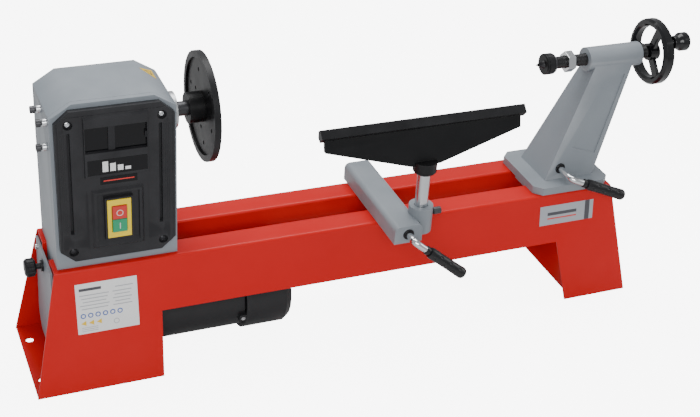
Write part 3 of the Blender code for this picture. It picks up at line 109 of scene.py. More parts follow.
floor_sheet = bmesh.new()
bmesh.ops.create_grid(floor_sheet, x_segments=1, y_segments=1, size=6)
floor_mesh = bpy.data.meshes.new("floor")
floor_sheet.to_mesh(floor_mesh)
floor_sheet.free()
floor = bpy.data.objects.new("floor", floor_mesh)
bpy.context.scene.collection.objects.link(floor)
floor.location = (0.4, 0, -0.0005)
floor_paint = bpy.data.materials.new("pale_floor")
floor_paint.use_nodes = True
floor_shader = floor_paint.node_tree.nodes["Principled BSDF"]
floor_shader.inputs["Base Color"].default_value = (0.62, 0.62, 0.62, 1)
floor_shader.inputs["Roughness"].default_value = 0.6
floor_shader.inputs["Emission Color"].default_value = (1, 1, 1, 1)
ray = floor_paint.node_tree.nodes.new("ShaderNodeLightPath")
glow = floor_paint.node_tree.nodes.new("ShaderNodeMath")
glow.operation = "MULTIPLY"
glow.inputs[1].default_value = 7.0
floor_paint.node_tree.links.new(ray.outputs["Is Camera Ray"], glow.inputs[0])
floor_paint.node_tree.links.new(glow.outputs[0], floor_shader.inputs["Emission Strength"])
floor_mesh.materials.append(floor_paint)


# ---- Bed: rails, foot plates and spacers --------------------------------------------------
# Two folded 3 mm sheets, each a slot wall, a top and a leaning side with its legs, joined
# by foot plates and small spacers.  They are powder coated in a glossy red.
def make_surface_group():
    """Two tones in blotches, worn edges, and a fine grain for the bump."""
    group = bpy.data.node_groups.new("worn_surface", "ShaderNodeTree")
    for name, kind in (("Vector", "NodeSocketVector"), ("Main", "NodeSocketColor"),
                       ("Second", "NodeSocketColor"), ("Worn", "NodeSocketColor"),
                       ("Blotch scale", "NodeSocketFloat"), ("Grain scale", "NodeSocketFloat"),
                       ("Wear", "NodeSocketFloat"), ("Low roughness", "NodeSocketFloat"),
                       ("High roughness", "NodeSocketFloat")):
        group.interface.new_socket(name=name, in_out="INPUT", socket_type=kind)
    for name, kind in (("Color", "NodeSocketColor"), ("Roughness", "NodeSocketFloat"),
                       ("Height", "NodeSocketFloat")):
        group.interface.new_socket(name=name, in_out="OUTPUT", socket_type=kind)
    nodes, links = group.nodes, group.links
    given = nodes.new("NodeGroupInput")
    result = nodes.new("NodeGroupOutput")
    blotch = nodes.new("ShaderNodeTexNoise")
    blotch.inputs["Detail"].default_value = 4.0
    links.new(given.outputs["Vector"], blotch.inputs["Vector"])
    links.new(given.outputs["Blotch scale"], blotch.inputs["Scale"])
    grain = nodes.new("ShaderNodeTexNoise")
    grain.inputs["Detail"].default_value = 2.0
    links.new(given.outputs["Vector"], grain.inputs["Vector"])
    links.new(given.outputs["Grain scale"], grain.inputs["Scale"])
    tones = nodes.new("ShaderNodeMix")
    tones.data_type = "RGBA"
    links.new(blotch.outputs["Fac"], tones.inputs["Factor"])
    links.new(given.outputs["Main"], tones.inputs["A"])
    links.new(given.outputs["Second"], tones.inputs["B"])
    shape = nodes.new("ShaderNodeNewGeometry")
    edge = nodes.new("ShaderNodeMapRange")
    edge.inputs["From Min"].default_value = 0.53
    edge.inputs["From Max"].default_value = 0.64
    links.new(shape.outputs["Pointiness"], edge.inputs["Value"])
    broken = nodes.new("ShaderNodeMath")
    broken.operation = "MULTIPLY"
    links.new(edge.outputs["Result"], broken.inputs[0])
    links.new(blotch.outputs["Fac"], broken.inputs[1])
    amount = nodes.new("ShaderNodeMath")
    amount.operation = "MULTIPLY"
    amount.use_clamp = True
    links.new(broken.outputs[0], amount.inputs[0])
    links.new(given.outputs["Wear"], amount.inputs[1])
    worn = nodes.new("ShaderNodeMix")
    worn.data_type = "RGBA"
    links.new(amount.outputs[0], worn.inputs["Factor"])
    links.new(tones.outputs["Result"], worn.inputs["A"])
    links.new(given.outputs["Worn"], worn.inputs["B"])
    gloss = nodes.new("ShaderNodeMapRange")
    links.new(blotch.outputs["Fac"], gloss.inputs["Value"])
    links.new(given.outputs["Low roughness"], gloss.inputs["To Min"])
    links.new(given.outputs["High roughness"], gloss.inputs["To Max"])
    gloss.inputs["From Min"].default_value = 0.3
    gloss.inputs["From Max"].default_value = 0.7
    links.new(worn.outputs["Result"], result.inputs["Color"])
    links.new(gloss.outputs["Result"], result.inputs["Roughness"])
    links.new(grain.outputs["Fac"], result.inputs["Height"])
    return group


worn_surface = make_surface_group()


def finish(name, main, second, roughness, metallic=0.0, worn=None, wear=0.0, blotch=30.0,
           grain=900.0, bump=0.1, stretch=(1, 1, 1), coat=0.0, depth=0.0002, shine=0.5):
    """A material from the worn_surface group, with its own colours and grain."""
    result = bpy.data.materials.new(name)
    result.use_nodes = True
    nodes, links = result.node_tree.nodes, result.node_tree.links
    shader = nodes["Principled BSDF"]
    shader.inputs["Metallic"].default_value = metallic
    shader.inputs["Specular IOR Level"].default_value = shine
    shader.inputs["Coat Weight"].default_value = coat
    shader.inputs["Coat Roughness"].default_value = 0.08
    place = nodes.new("ShaderNodeTexCoord")
    sized = nodes.new("ShaderNodeMapping")
    sized.inputs["Scale"].default_value = stretch
    links.new(place.outputs["Object"], sized.inputs["Vector"])
    look = nodes.new("ShaderNodeGroup")
    look.node_tree = worn_surface
    links.new(sized.outputs["Vector"], look.inputs["Vector"])
    look.inputs["Main"].default_value = (*main, 1)
    look.inputs["Second"].default_value = (*second, 1)
    look.inputs["Worn"].default_value = (*(worn or second), 1)
    look.inputs["Blotch scale"].default_value = blotch
    look.inputs["Grain scale"].default_value = grain
    look.inputs["Wear"].default_value = wear
    look.inputs["Low roughness"].default_value = roughness[0]
    look.inputs["High roughness"].default_value = roughness[1]
    links.new(look.outputs["Color"], shader.inputs["Base Color"])
    links.new(look.outputs["Roughness"], shader.inputs["Roughness"])
    relief = nodes.new("ShaderNodeBump")
    relief.inputs["Strength"].default_value = bump
    relief.inputs["Distance"].default_value = depth
    links.new(look.outputs["Height"], relief.inputs["Height"])
    links.new(relief.outputs["Normal"], shader.inputs["Normal"])
    return result


def piece(name, shape, like, looks, bevel=0.0, steps=2, angle=35, replaces=(), bend=None):
    """Turn a shape in frame coordinates into a piece that rides with the CAD node like, or,
    when bend is given, stays fixed in the frame with its transform baked instead."""
    mesh = bpy.data.meshes.new(name)
    shape.to_mesh(mesh)
    shape.free()
    mesh.shade_smooth()
    for look in looks:
        mesh.materials.append(look)
    result = bpy.data.objects.new(name, mesh)
    bpy.context.scene.collection.objects.link(result)
    if bevel:
        rounded = result.modifiers.new("rounded", "BEVEL")
        rounded.width = bevel
        rounded.segments = steps
        rounded.limit_method = "ANGLE"
        rounded.angle_limit = math.radians(angle)
        weighted = result.modifiers.new("weighted", "WEIGHTED_NORMAL")
        weighted.keep_sharp = True
    else:
        mesh.set_sharp_from_angle(angle=math.radians(angle))
    if bend:
        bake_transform(result)
    else:
        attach(result, frame["nodes"][like]["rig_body"])
    if replaces:
        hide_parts(*replaces)
    return result


def merged(node):
    """A closed bmesh of a CAD node, with its flat faces whole again."""
    shape = bmesh.new()
    shape.from_mesh(frame["nodes"][node].data)
    bmesh.ops.remove_doubles(shape, verts=shape.verts, dist=0.00001)
    bmesh.ops.dissolve_limit(shape, angle_limit=math.radians(1), verts=shape.verts,
                             edges=shape.edges)
    for face in shape.faces:
        face.material_index = 0
    return shape


def refined(node, look, bevel=0.0005, steps=2, angle=35):
    """Stand a piece with rounded edges in a CAD node's place."""
    return piece(node + "_finished", merged(node), node, [look], bevel, steps, angle, [node])


red_coat = finish("red_powder_coat", (0.52, 0.0012, 0.0006), (0.57, 0.0018, 0.0009), (0.28, 0.38),
                  worn=(0.62, 0.05, 0.04), wear=0.5, blotch=14, grain=420, bump=0.08, shine=0.25)
grey_coat = finish("grey_paint", (0.190, 0.215, 0.240), (0.220, 0.245, 0.270), (0.38, 0.50),
                   worn=(0.55, 0.57, 0.59), wear=0.5, blotch=25, grain=700, bump=0.12)
for node in ("front_rail", "back_rail"):
    refined(node, red_coat, 0.0004)
for node in ("left_foot_plate", "right_foot_plate"):
    refined(node, red_coat, 0.0006)
for node in ("left_bed_spacer", "right_bed_spacer"):
    refined(node, grey_coat, 0.0005)

# ---- Stickers on the bed ------------------------------------------------------------------
# A white data sticker on the left leg and a grey one at the right end of the front rail,
# thin printed film with plain bars, dots and marks and no lettering.
rail_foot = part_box("front_rail")[0]
rail_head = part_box("front_rail")[1]
bed_half_top = 0.060
film = 0.00025
ink = 0.00008
lean = math.atan2(-rail_foot.y - bed_half_top, rail_head.z)


def on_rail_side(shape):
    """Stand a flat shape, drawn in X and Z, on the leaning outer face of the front rail."""
    for vertex in shape.verts:
        x, out, z = vertex.co
        face_y = rail_foot.y + z * math.tan(lean)
        vertex.co = (x, face_y + out * math.cos(lean), z + out * math.sin(lean))


def flat_mark(shape, x, z, width, height, index, sides=4, rise=0.0, thick=ink, tilt=0.0):
    """Add a thin plate to a shape: a bar when it has four sides, else a dot or a triangle."""
    before = set(shape.verts)
    bmesh.ops.create_circle(shape, cap_ends=True, segments=sides, radius=0.5)
    fresh = [v for v in shape.verts if v not in before]
    if sides == 4:
        bmesh.ops.rotate(shape, verts=fresh, cent=(0, 0, 0), matrix=Matrix.Rotation(math.pi / 4, 3, "Z"))
        bmesh.ops.scale(shape, verts=fresh, vec=(math.sqrt(2), math.sqrt(2), 1))
    if sides == 3:
        bmesh.ops.rotate(shape, verts=fresh, cent=(0, 0, 0), matrix=Matrix.Rotation(math.pi / 2, 3, "Z"))
    bmesh.ops.scale(shape, verts=fresh, vec=(width, height, 1))
    bmesh.ops.rotate(shape, verts=fresh, cent=(0, 0, 0), matrix=Matrix.Rotation(tilt, 3, "Z"))
    bmesh.ops.rotate(shape, verts=fresh, cent=(0, 0, 0), matrix=Matrix.Rotation(math.pi / 2, 3, "X"))
    bmesh.ops.translate(shape, verts=fresh, vec=(x, -rise, z))
    face = next(f for f in fresh[0].link_faces)
    pushed = bmesh.ops.extrude_face_region(shape, geom=[face])["geom"]
    lifted = [item for item in pushed if isinstance(item, bmesh.types.BMVert)]
    bmesh.ops.translate(shape, verts=lifted, vec=(0, -thick, 0))
    for vertex in fresh + lifted:
        for f in vertex.link_faces:
            f.material_index = index
    return fresh + lifted


white_film = finish("white_film", (0.80, 0.80, 0.79), (0.74, 0.74, 0.73), (0.25, 0.35), grain=300, bump=0.03)
grey_film = finish("grey_film", (0.33, 0.35, 0.38), (0.38, 0.40, 0.43), (0.28, 0.36), grain=300, bump=0.03)
dark_ink = finish("dark_ink", (0.05, 0.05, 0.06), (0.07, 0.07, 0.08), (0.35, 0.45), bump=0.02)
pale_ink = finish("pale_ink", (0.36, 0.37, 0.39), (0.42, 0.43, 0.45), (0.35, 0.45), bump=0.02)
red_ink = finish("red_ink", (0.60, 0.03, 0.02), (0.66, 0.04, 0.03), (0.35, 0.45), bump=0.02)
blue_ink = finish("blue_ink", (0.03, 0.09, 0.36), (0.05, 0.12, 0.42), (0.35, 0.45), bump=0.02)
yellow_ink = finish("yellow_ink", (0.75, 0.48, 0.02), (0.80, 0.53, 0.03), (0.35, 0.45), bump=0.02)
inks = [white_film, dark_ink, pale_ink, red_ink, blue_ink, yellow_ink, grey_film]

label = bmesh.new()
flat_mark(label, 0.067, 0.124, 0.084, 0.074, 0, thick=film)
flat_mark(label, 0.045, 0.152, 0.030, 0.0040, 1, rise=film)
flat_mark(label, 0.091, 0.150, 0.024, 0.0014, 2, rise=film)
for row in range(5):
    flat_mark(label, 0.050, 0.1435 - row * 0.0050, 0.040 - 0.004 * (row % 3), 0.0013, 2, rise=film)
    flat_mark(label, 0.088, 0.1435 - row * 0.0050, 0.026 - 0.005 * (row % 2), 0.0013, 2, rise=film)
for k in range(6):
    flat_mark(label, 0.0335 + k * 0.0100, 0.1135, 0.0074, 0.0074, 4, 20, rise=film)
    flat_mark(label, 0.0335 + k * 0.0100, 0.1135, 0.0044, 0.0044, 0, 16, rise=film + ink)
for k in range(3):
    flat_mark(label, 0.0345 + k * 0.0105, 0.1025, 0.0094, 0.0088, 5, 3, rise=film)
for row in range(3):
    flat_mark(label, 0.0415, 0.0960 - row * 0.0026, 0.022, 0.0008, 2, rise=film)
flat_mark(label, 0.078, 0.0990, 0.0080, 0.0080, 2, 20, rise=film)
flat_mark(label, 0.078, 0.0990, 0.0060, 0.0060, 0, 20, rise=film + ink)
on_rail_side(label)
bmesh.ops.recalc_face_normals(label, faces=label.faces)
piece("data_sticker", label, "front_rail", inks)

badge = bmesh.new()
flat_mark(badge, 0.774, 0.148, 0.092, 0.031, 6, thick=film)
flat_mark(badge, 0.766, 0.1500, 0.050, 0.0050, 1, rise=film)
flat_mark(badge, 0.766, 0.1425, 0.050, 0.0020, 3, rise=film)
flat_mark(badge, 0.8095, 0.148, 0.0080, 0.031, 1, rise=film)
on_rail_side(badge)
bmesh.ops.recalc_face_normals(badge, faces=badge.faces)
piece("end_sticker", badge, "front_rail", inks)

# ---- Headstock shell, back plate and cord gland -------------------------------------------
# The shell is a bent and welded sheet box with a cast front frame and a screwed back plate,
# all painted grey; the plastic gland in the back plate holds the supply cord.
refined("headstock_shell", grey_coat, 0.0010, 3)
refined("headstock_back_plate", grey_coat, 0.0010)
refined("headstock_front_frame", grey_coat, 0.0016, 3)


def turned(profile, axis, centre, steps=64):
    """Spin a profile of (distance along the axis, radius) points into a closed shape."""
    shape = bmesh.new()
    points = [shape.verts.new((radius, 0, along)) for along, radius in profile]
    pairs = list(zip(points, points[1:]))
    if profile[0][1] > 0 or profile[-1][1] > 0:
        pairs.append((points[-1], points[0]))
    edges = [shape.edges.new(pair) for pair in pairs]
    bmesh.ops.spin(shape, geom=points + edges, cent=(0, 0, 0), axis=(0, 0, 1), dvec=(0, 0, 0),
                   angle=math.tau, steps=steps, use_merge=True, use_duplicate=False)
    bmesh.ops.remove_doubles(shape, verts=shape.verts, dist=0.000002)
    way = {"X": Matrix.Rotation(math.pi / 2, 3, "Y"),
           "Y": Matrix.Rotation(-math.pi / 2, 3, "X"),
           "Z": Matrix.Identity(3)}[axis]
    bmesh.ops.rotate(shape, verts=shape.verts, cent=(0, 0, 0), matrix=way)
    bmesh.ops.translate(shape, verts=shape.verts, vec=centre)
    bmesh.ops.recalc_face_normals(shape, faces=shape.faces)
    return shape


def rounded_corner(along, radius, size, start, steps=4):
    """Profile points round a quarter circle whose centre is (along, radius)."""
    return [(along + size * math.cos(math.radians(start - 90 * k / steps)),
             radius + size * math.sin(math.radians(start - 90 * k / steps)))
            for k in range(steps + 1)]


def combined(base, tool, operation="DIFFERENCE"):
    """Cut or join two shapes; both are used up."""
    pair = []
    for shape in (base, tool):
        mesh = bpy.data.meshes.new("working")
        shape.to_mesh(mesh)
        shape.free()
        item = bpy.data.objects.new("working", mesh)
        bpy.context.scene.collection.objects.link(item)
        pair.append(item)
    step = pair[0].modifiers.new("combine", "BOOLEAN")
    step.operation = operation
    step.solver = "EXACT"
    step.object = pair[1]
    result = bmesh.new()
    result.from_mesh(pair[0].evaluated_get(bpy.context.evaluated_depsgraph_get()).to_mesh())
    for item in pair:
        bpy.data.objects.remove(item, do_unlink=True)
    bmesh.ops.remove_doubles(result, verts=result.verts, dist=0.000005)
    return result


def block(low, high):
    shape = bmesh.new()
    bmesh.ops.create_cube(shape, size=1)
    bmesh.ops.scale(shape, vec=Vector(high) - Vector(low), verts=shape.verts)
    bmesh.ops.translate(shape, vec=(Vector(high) + Vector(low)) / 2, verts=shape.verts)
    return shape


black_moulding = finish("black_moulding", (0.010, 0.010, 0.012), (0.014, 0.014, 0.016), (0.34, 0.44),
                        worn=(0.04, 0.04, 0.043), wear=0.6, blotch=40, grain=2600, bump=0.20, shine=0.25)
low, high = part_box("cable_gland")
centre = (low + high) / 2
wall = high.y - 0.016
gland = turned([(low.y, 0.004), (low.y, 0.008), (wall, 0.008), (wall, 0.012), (wall + 0.006, 0.012),
                (wall + 0.007, 0.0095), (high.y - 0.003, 0.009), (high.y, 0.0065), (high.y, 0.004)],
               "Y", (centre.x, 0, centre.z), 48)
for k in range(6):
    side = block((-0.02, wall + 0.0002, 0.0104), (0.02, wall + 0.0062, 0.02))
    bmesh.ops.rotate(side, verts=side.verts, cent=(0, 0, 0), matrix=Matrix.Rotation(k * math.pi / 3, 3, "Y"))
    bmesh.ops.translate(side, verts=side.verts, vec=(centre.x, 0, centre.z))
    gland = combined(gland, side)
piece("cord_gland_nut", gland, "cable_gland", [black_moulding], 0.0003, replaces=["cable_gland"])

# A plain yellow mark with a dark border on the shell's right-hand chamfer, near the back.
shell_low, shell_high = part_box("headstock_shell")
chamfer_run, chamfer_drop = 0.0288, 0.0181
mark = bmesh.new()
flat_mark(mark, 0, 0, 0.0300, 0.0300, 5, 3, thick=film)
flat_mark(mark, 0, 0, 0.0150, 0.0150, 1, 3, rise=film)
flat_mark(mark, 0, 0, 0.0100, 0.0100, 5, 3, rise=film + ink)
slope = math.atan2(chamfer_drop, chamfer_run)
bmesh.ops.rotate(mark, verts=mark.verts, cent=(0, 0, 0), matrix=Matrix.Rotation(-math.pi / 2, 3, "X"))
bmesh.ops.rotate(mark, verts=mark.verts, cent=(0, 0, 0), matrix=Matrix.Rotation(slope, 3, "Y"))
bmesh.ops.translate(mark, verts=mark.verts, vec=(shell_high.x - chamfer_run / 2, 0.030,
                                                 shell_high.z - chamfer_drop / 2 + 0.0001))
bmesh.ops.recalc_face_normals(mark, faces=mark.faces)
piece("chamfer_mark", mark, "headstock_shell", inks)

# ---- Belt cover ---------------------------------------------------------------------------
# One black moulding over the pulleys: a raised console with a window, two finger grooves
# with ribbed lands beside them, four counterbored corners and a pad for the switch.
low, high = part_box("belt_cover")
cover_front = low.y + 0.005
cover_back = high.y
corner_x, corner_z = 0.019, 0.0168
cover = bmesh.new()
outline = [(low.x, low.z + corner_z), (low.x, high.z - corner_z), (low.x + corner_x, high.z),
           (high.x - corner_x, high.z), (high.x, high.z - corner_z), (high.x, low.z + corner_z),
           (high.x - corner_x, low.z), (low.x + corner_x, low.z)]
front_face = cover.faces.new([cover.verts.new((x, cover_front, z)) for x, z in outline])
pushed = bmesh.ops.extrude_face_region(cover, geom=[front_face])["geom"]
bmesh.ops.translate(cover, verts=[v for v in pushed if isinstance(v, bmesh.types.BMVert)],
                    vec=(0, high.y - cover_front, 0))
bmesh.ops.recalc_face_normals(cover, faces=cover.faces)


def patch(shape, x0, x1, z0, z1, out, slopes=(0, 0, 0, 0)):
    """Push the front faces inside a rectangle out, or in, with left, right, low, high slopes."""
    for where, way in (((x0, 0, 0), (1, 0, 0)), ((x1, 0, 0), (1, 0, 0)),
                       ((0, 0, z0), (0, 0, 1)), ((0, 0, z1), (0, 0, 1))):
        near = [f for f in shape.faces if f.normal.y < -0.9
                and f.calc_center_median().y < cover_back - 0.004]
        edges = {e for f in near for e in f.edges}
        verts = {v for f in near for v in f.verts}
        bmesh.ops.bisect_plane(shape, geom=near + list(edges) + list(verts), plane_co=where,
                               plane_no=way, dist=0.000005)
    inside = [f for f in shape.faces if f.normal.y < -0.9
              and x0 < f.calc_center_median().x < x1 and z0 < f.calc_center_median().z < z1
              and f.calc_center_median().y < cover_back - 0.004]
    pushed = bmesh.ops.extrude_face_region(shape, geom=inside)["geom"]
    moved = [v for v in pushed if isinstance(v, bmesh.types.BMVert)]
    bmesh.ops.delete(shape, geom=[f for f in inside if f.is_valid], context="FACES_ONLY")
    bmesh.ops.translate(shape, verts=moved, vec=(0, -out, 0))
    for v in moved:
        on_left, on_right = abs(v.co.x - x0) < 0.00002, abs(v.co.x - x1) < 0.00002
        on_low, on_high = abs(v.co.z - z0) < 0.00002, abs(v.co.z - z1) < 0.00002
        v.co.x += slopes[0] * on_left - slopes[1] * on_right
        v.co.z += slopes[2] * on_low - slopes[3] * on_high


switch_low, switch_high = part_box("switch_frame")
patch(cover, 0.0130, 0.1612, 0.2060, 0.4090, 0.0008, (0.0005, 0.0005, 0.0005, 0.0005))
patch(cover, 0.0455, 0.1285, 0.3205, 0.4075, 0.0028, (0.0006, 0.0006, 0.0010, 0.0030))
patch(cover, 0.0470, 0.1270, 0.3560, 0.3920, -0.0066, (0, 0, 0.0012, 0))
patch(cover, 0.0490, 0.1270, 0.3240, 0.3460, -0.0006)
patch(cover, 0.0245, 0.0290, 0.2390, 0.3870, -0.0055, (0, 0, 0.002, 0))
patch(cover, 0.1425, 0.1470, 0.2390, 0.3870, -0.0055, (0, 0, 0.002, 0))
for k in range(4):
    patch(cover, 0.0145 + k * 0.0024, 0.0157 + k * 0.0024, 0.2420, 0.3850, 0.0004)
    patch(cover, 0.1487 + k * 0.0024, 0.1499 + k * 0.0024, 0.2420, 0.3850, 0.0004)
patch(cover, 0.0530, 0.1215, 0.2130, 0.3010, 0.0035, (0.0030, 0.0030, 0.0030, 0.0030))
patch(cover, 0.0595, 0.1150, 0.2185, 0.2950, -0.0026, (0.0005, 0.0005, 0.0060, 0.0005))
patch(cover, switch_low.x - 0.0030, switch_high.x + 0.0030, switch_low.z - 0.0030,
      switch_high.z + 0.0030, 0.0060, (0.0004, 0.0004, 0.0004, 0.0004))
bmesh.ops.recalc_face_normals(cover, faces=cover.faces)
cover = combined(cover, block((switch_low.x - 0.0004, low.y - 0.02, switch_low.z - 0.0004),
                              (switch_high.x + 0.0004, high.y + 0.01, switch_high.z + 0.0004)))
screw_boxes = [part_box("cover_screw_%d" % k) for k in range(1, 5)]
for screw_low, screw_high in screw_boxes:
    x, z = (screw_low.x + screw_high.x) / 2, (screw_low.z + screw_high.z) / 2
    cover = combined(cover, turned([(low.y - 0.01, 0), (low.y - 0.01, 0.0062),
                                    (cover_front + 0.004, 0.0062), (cover_front + 0.004, 0.0028),
                                    (high.y + 0.01, 0.0028), (high.y + 0.01, 0)], "Y", (x, 0, z), 32))
piece("belt_cover_moulding", cover, "belt_cover", [black_moulding], 0.0006, 2, replaces=["belt_cover"])

# ---- Window, speed chart and plain badge of the cover -------------------------------------
# The window is smoked plastic with a divider behind it and a small latch.  Below it are a
# glossy strip with four falling bars for the belt's steps, and a plain narrow badge.
smoked = finish("smoked_window", (0.002, 0.002, 0.003), (0.003, 0.003, 0.004), (0.05, 0.09),
                blotch=12, grain=80, bump=0.02, shine=0.25)
refined("window_pane", smoked, 0.0003)
divider = block((0.0772, low.y - 0.0018 + 0.0060, 0.3565), (0.0862, low.y + 0.0060, 0.3915))
piece("window_divider", divider, "belt_cover", [black_moulding], 0.0004)
latch = block((0.1245, cover_front - 0.0030, 0.3700), (0.1268, cover_front + 0.0020, 0.3790))
piece("window_latch", latch, "belt_cover", [black_moulding], 0.0006)
chart = bmesh.new()
chart_y = cover_front - 0.0030
flat_mark(chart, 0.0880, 0.3350, 0.0770, 0.0210, 0, rise=-chart_y, thick=0.0002)
for k, bar_height in enumerate((0.0150, 0.0115, 0.0080, 0.0045)):
    flat_mark(chart, 0.0720 + k * 0.0098, 0.3275 + bar_height / 2, 0.0072, bar_height, 1,
              rise=-chart_y + 0.0002)
bmesh.ops.recalc_face_normals(chart, faces=chart.faces)
piece("speed_chart", chart, "belt_cover", [smoked, white_film])
badge = bmesh.new()
flat_mark(badge, 0.0895, 0.3130, 0.0480, 0.0105, 0, rise=-cover_front + 0.0008, thick=0.0003)
flat_mark(badge, 0.0895, 0.3130, 0.0400, 0.0016, 1, rise=-cover_front + 0.0011)
bmesh.ops.recalc_face_normals(badge, faces=badge.faces)
piece("cover_badge", badge, "belt_cover", [smoked, red_ink])

# ---- Cover screws and side screws ---------------------------------------------------------
# Pan-head screws with a cross recess hold the cover: bright ones above and black ones below.
# Three black socket screws with zinc spacers stand out of the shell's left wall.
zinc = finish("zinc_plate", (0.66, 0.67, 0.68), (0.56, 0.57, 0.59), (0.18, 0.30), 1.0, blotch=60,
              grain=1500, bump=0.08)
black_steel = finish("black_steel", (0.030, 0.030, 0.033), (0.045, 0.045, 0.050), (0.30, 0.42), 0.6,
                     worn=(0.25, 0.25, 0.26), wear=0.8, blotch=80, grain=1800, bump=0.12)
for number, (screw_low, screw_high) in enumerate(screw_boxes, 1):
    x, z = (screw_low.x + screw_high.x) / 2, (screw_low.z + screw_high.z) / 2
    seat = cover_front + 0.0037
    dome = [(seat - 0.0026 * math.cos(math.radians(a)) ** 0.8, 0.0045 * math.sin(math.radians(a)))
            for a in range(0, 90, 15)]
    head = turned(dome + [(seat - 0.0002, 0.0045), (seat, 0.0042), (seat, 0.0025),
                          (screw_high.y, 0.0025), (screw_high.y, 0)], "Y", (x, 0, z), 32)
    for width, height in ((0.0052, 0.0010), (0.0010, 0.0052)):
        head = combined(head, block((x - width / 2, seat - 0.01, z - height / 2),
                                    (x + width / 2, seat - 0.0012, z + height / 2)))
    piece("cover_screw_head_%d" % number, head, "cover_screw_%d" % number,
          [zinc if number % 2 else black_steel], replaces=["cover_screw_%d" % number])
for number in range(1, 4):
    screw_low, screw_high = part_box("side_screw_%d" % number)
    y, z = (screw_low.y + screw_high.y) / 2, (screw_low.z + screw_high.z) / 2
    wall = shell_low.x - 0.0003
    screw = turned([(screw_low.x + 0.0035, 0), (screw_low.x + 0.0035, 0.0025), (screw_low.x, 0.0029),
                    (screw_low.x, 0.0044), (screw_low.x + 0.0006, 0.0050), (screw_low.x + 0.0058, 0.0050),
                    (screw_low.x + 0.0058, 0.0032), (wall - 0.0058, 0.0032), (wall - 0.0058, 0.0046),
                    (wall - 0.0052, 0.0050), (wall, 0.0050), (wall, 0.0030), (screw_high.x, 0.0030),
                    (screw_high.x, 0)], "X", (0, y, z), 36)
    for face in screw.faces:
        face.material_index = 1 if wall - 0.0066 < face.calc_center_median().x < wall + 0.001 else 0
    piece("side_screw_set_%d" % number, screw, "side_screw_%d" % number, [black_steel, zinc],
          replaces=["side_screw_%d" % number])

# ---- Switch -------------------------------------------------------------------------------
# A yellow moulded flange with a red stop button above a green start button.  The ring and the
# bar on them are the usual plain signs for off and on.
yellow_moulding = finish("yellow_moulding", (0.80, 0.58, 0.012), (0.84, 0.62, 0.016), (0.30, 0.38),
                         blotch=60, grain=1800, bump=0.05)
red_button = finish("red_button", (0.52, 0.028, 0.020), (0.56, 0.034, 0.024), (0.28, 0.36), grain=1500,
                    bump=0.05)
green_button = finish("green_button", (0.010, 0.26, 0.115), (0.014, 0.29, 0.130), (0.28, 0.36),
                      grain=1500, bump=0.05)
pale_sign = finish("pale_sign", (0.72, 0.66, 0.64), (0.66, 0.60, 0.58), (0.35, 0.45), bump=0.03)
refined("switch_frame", yellow_moulding, 0.0010, 3)
for node, look in (("stop_button", red_button), ("start_button", green_button)):
    refined(node, look, 0.0008, 3)
low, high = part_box("stop_button")
ring_x, ring_z = (low.x + high.x) / 2, (low.z + high.z) / 2
ring = turned([(low.y - 0.00025, 0.0036), (low.y - 0.00025, 0.0045), (low.y + 0.0002, 0.0045),
               (low.y + 0.0002, 0.0036)], "Y", (ring_x, 0, ring_z), 40)
piece("stop_sign", ring, "stop_button", [pale_sign])
low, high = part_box("start_button")
bar_x, bar_z = (low.x + high.x) / 2, (low.z + high.z) / 2
bar = block((bar_x - 0.0006, low.y - 0.00025, bar_z - 0.0045), (bar_x + 0.0006, low.y + 0.0002, bar_z + 0.0045))
piece("start_sign", bar, "start_button", [pale_sign], 0.0001)

# ---- Bearings, spindle and faceplate ------------------------------------------------------
# The spindle turns in ball bearings held by two housings and ends in a black nose.  The
# faceplate is a turned iron disc with six large and six small screw holes.
bright_steel = finish("bright_steel", (0.62, 0.63, 0.64), (0.54, 0.55, 0.57), (0.16, 0.28), 1.0, blotch=30,
                      grain=1400, bump=0.06, stretch=(0.2, 1, 1))
cast_alloy = finish("cast_alloy", (0.56, 0.57, 0.58), (0.48, 0.49, 0.50), (0.30, 0.42), 0.9, blotch=50,
                    grain=900, bump=0.20)
for node in ("left_bearing_housing", "right_bearing_housing"):
    refined(node, grey_coat if node[0] == "l" else cast_alloy, 0.0008)
for node in ("left_bearing", "right_bearing", "centre_bearing"):
    refined(node, bright_steel, 0.0004)
refined("spindle_shaft", black_steel, 0.0005)
refined("spindle_pulley", cast_alloy, 0.0004)
refined("motor_pulley", cast_alloy, 0.0004)
belt_rubber = finish("belt_rubber", (0.020, 0.020, 0.020), (0.028, 0.028, 0.028), (0.55, 0.70), blotch=60,
                     grain=2200, bump=0.35)
spindle_z = (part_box("spindle_shaft")[0].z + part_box("spindle_shaft")[1].z) / 2
low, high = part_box("motor_pulley")
belt_x, rotor_z = (low.x + high.x) / 2, (low.z + high.z) / 2
piece("drive_belt_finished", merged("drive_belt"), "drive_belt", [belt_rubber], replaces=["drive_belt"],
      bend=("frame", "motor", (belt_x, 0, spindle_z - 0.03), (belt_x, 0, rotor_z + 0.03)))
dark_iron = finish("dark_iron", (0.003, 0.003, 0.0035), (0.005, 0.005, 0.0055), (0.34, 0.44),
                   worn=(0.10, 0.10, 0.11), wear=0.7, blotch=30, grain=1200, bump=0.15, shine=0.25)
refined("faceplate", dark_iron, 0.0007)

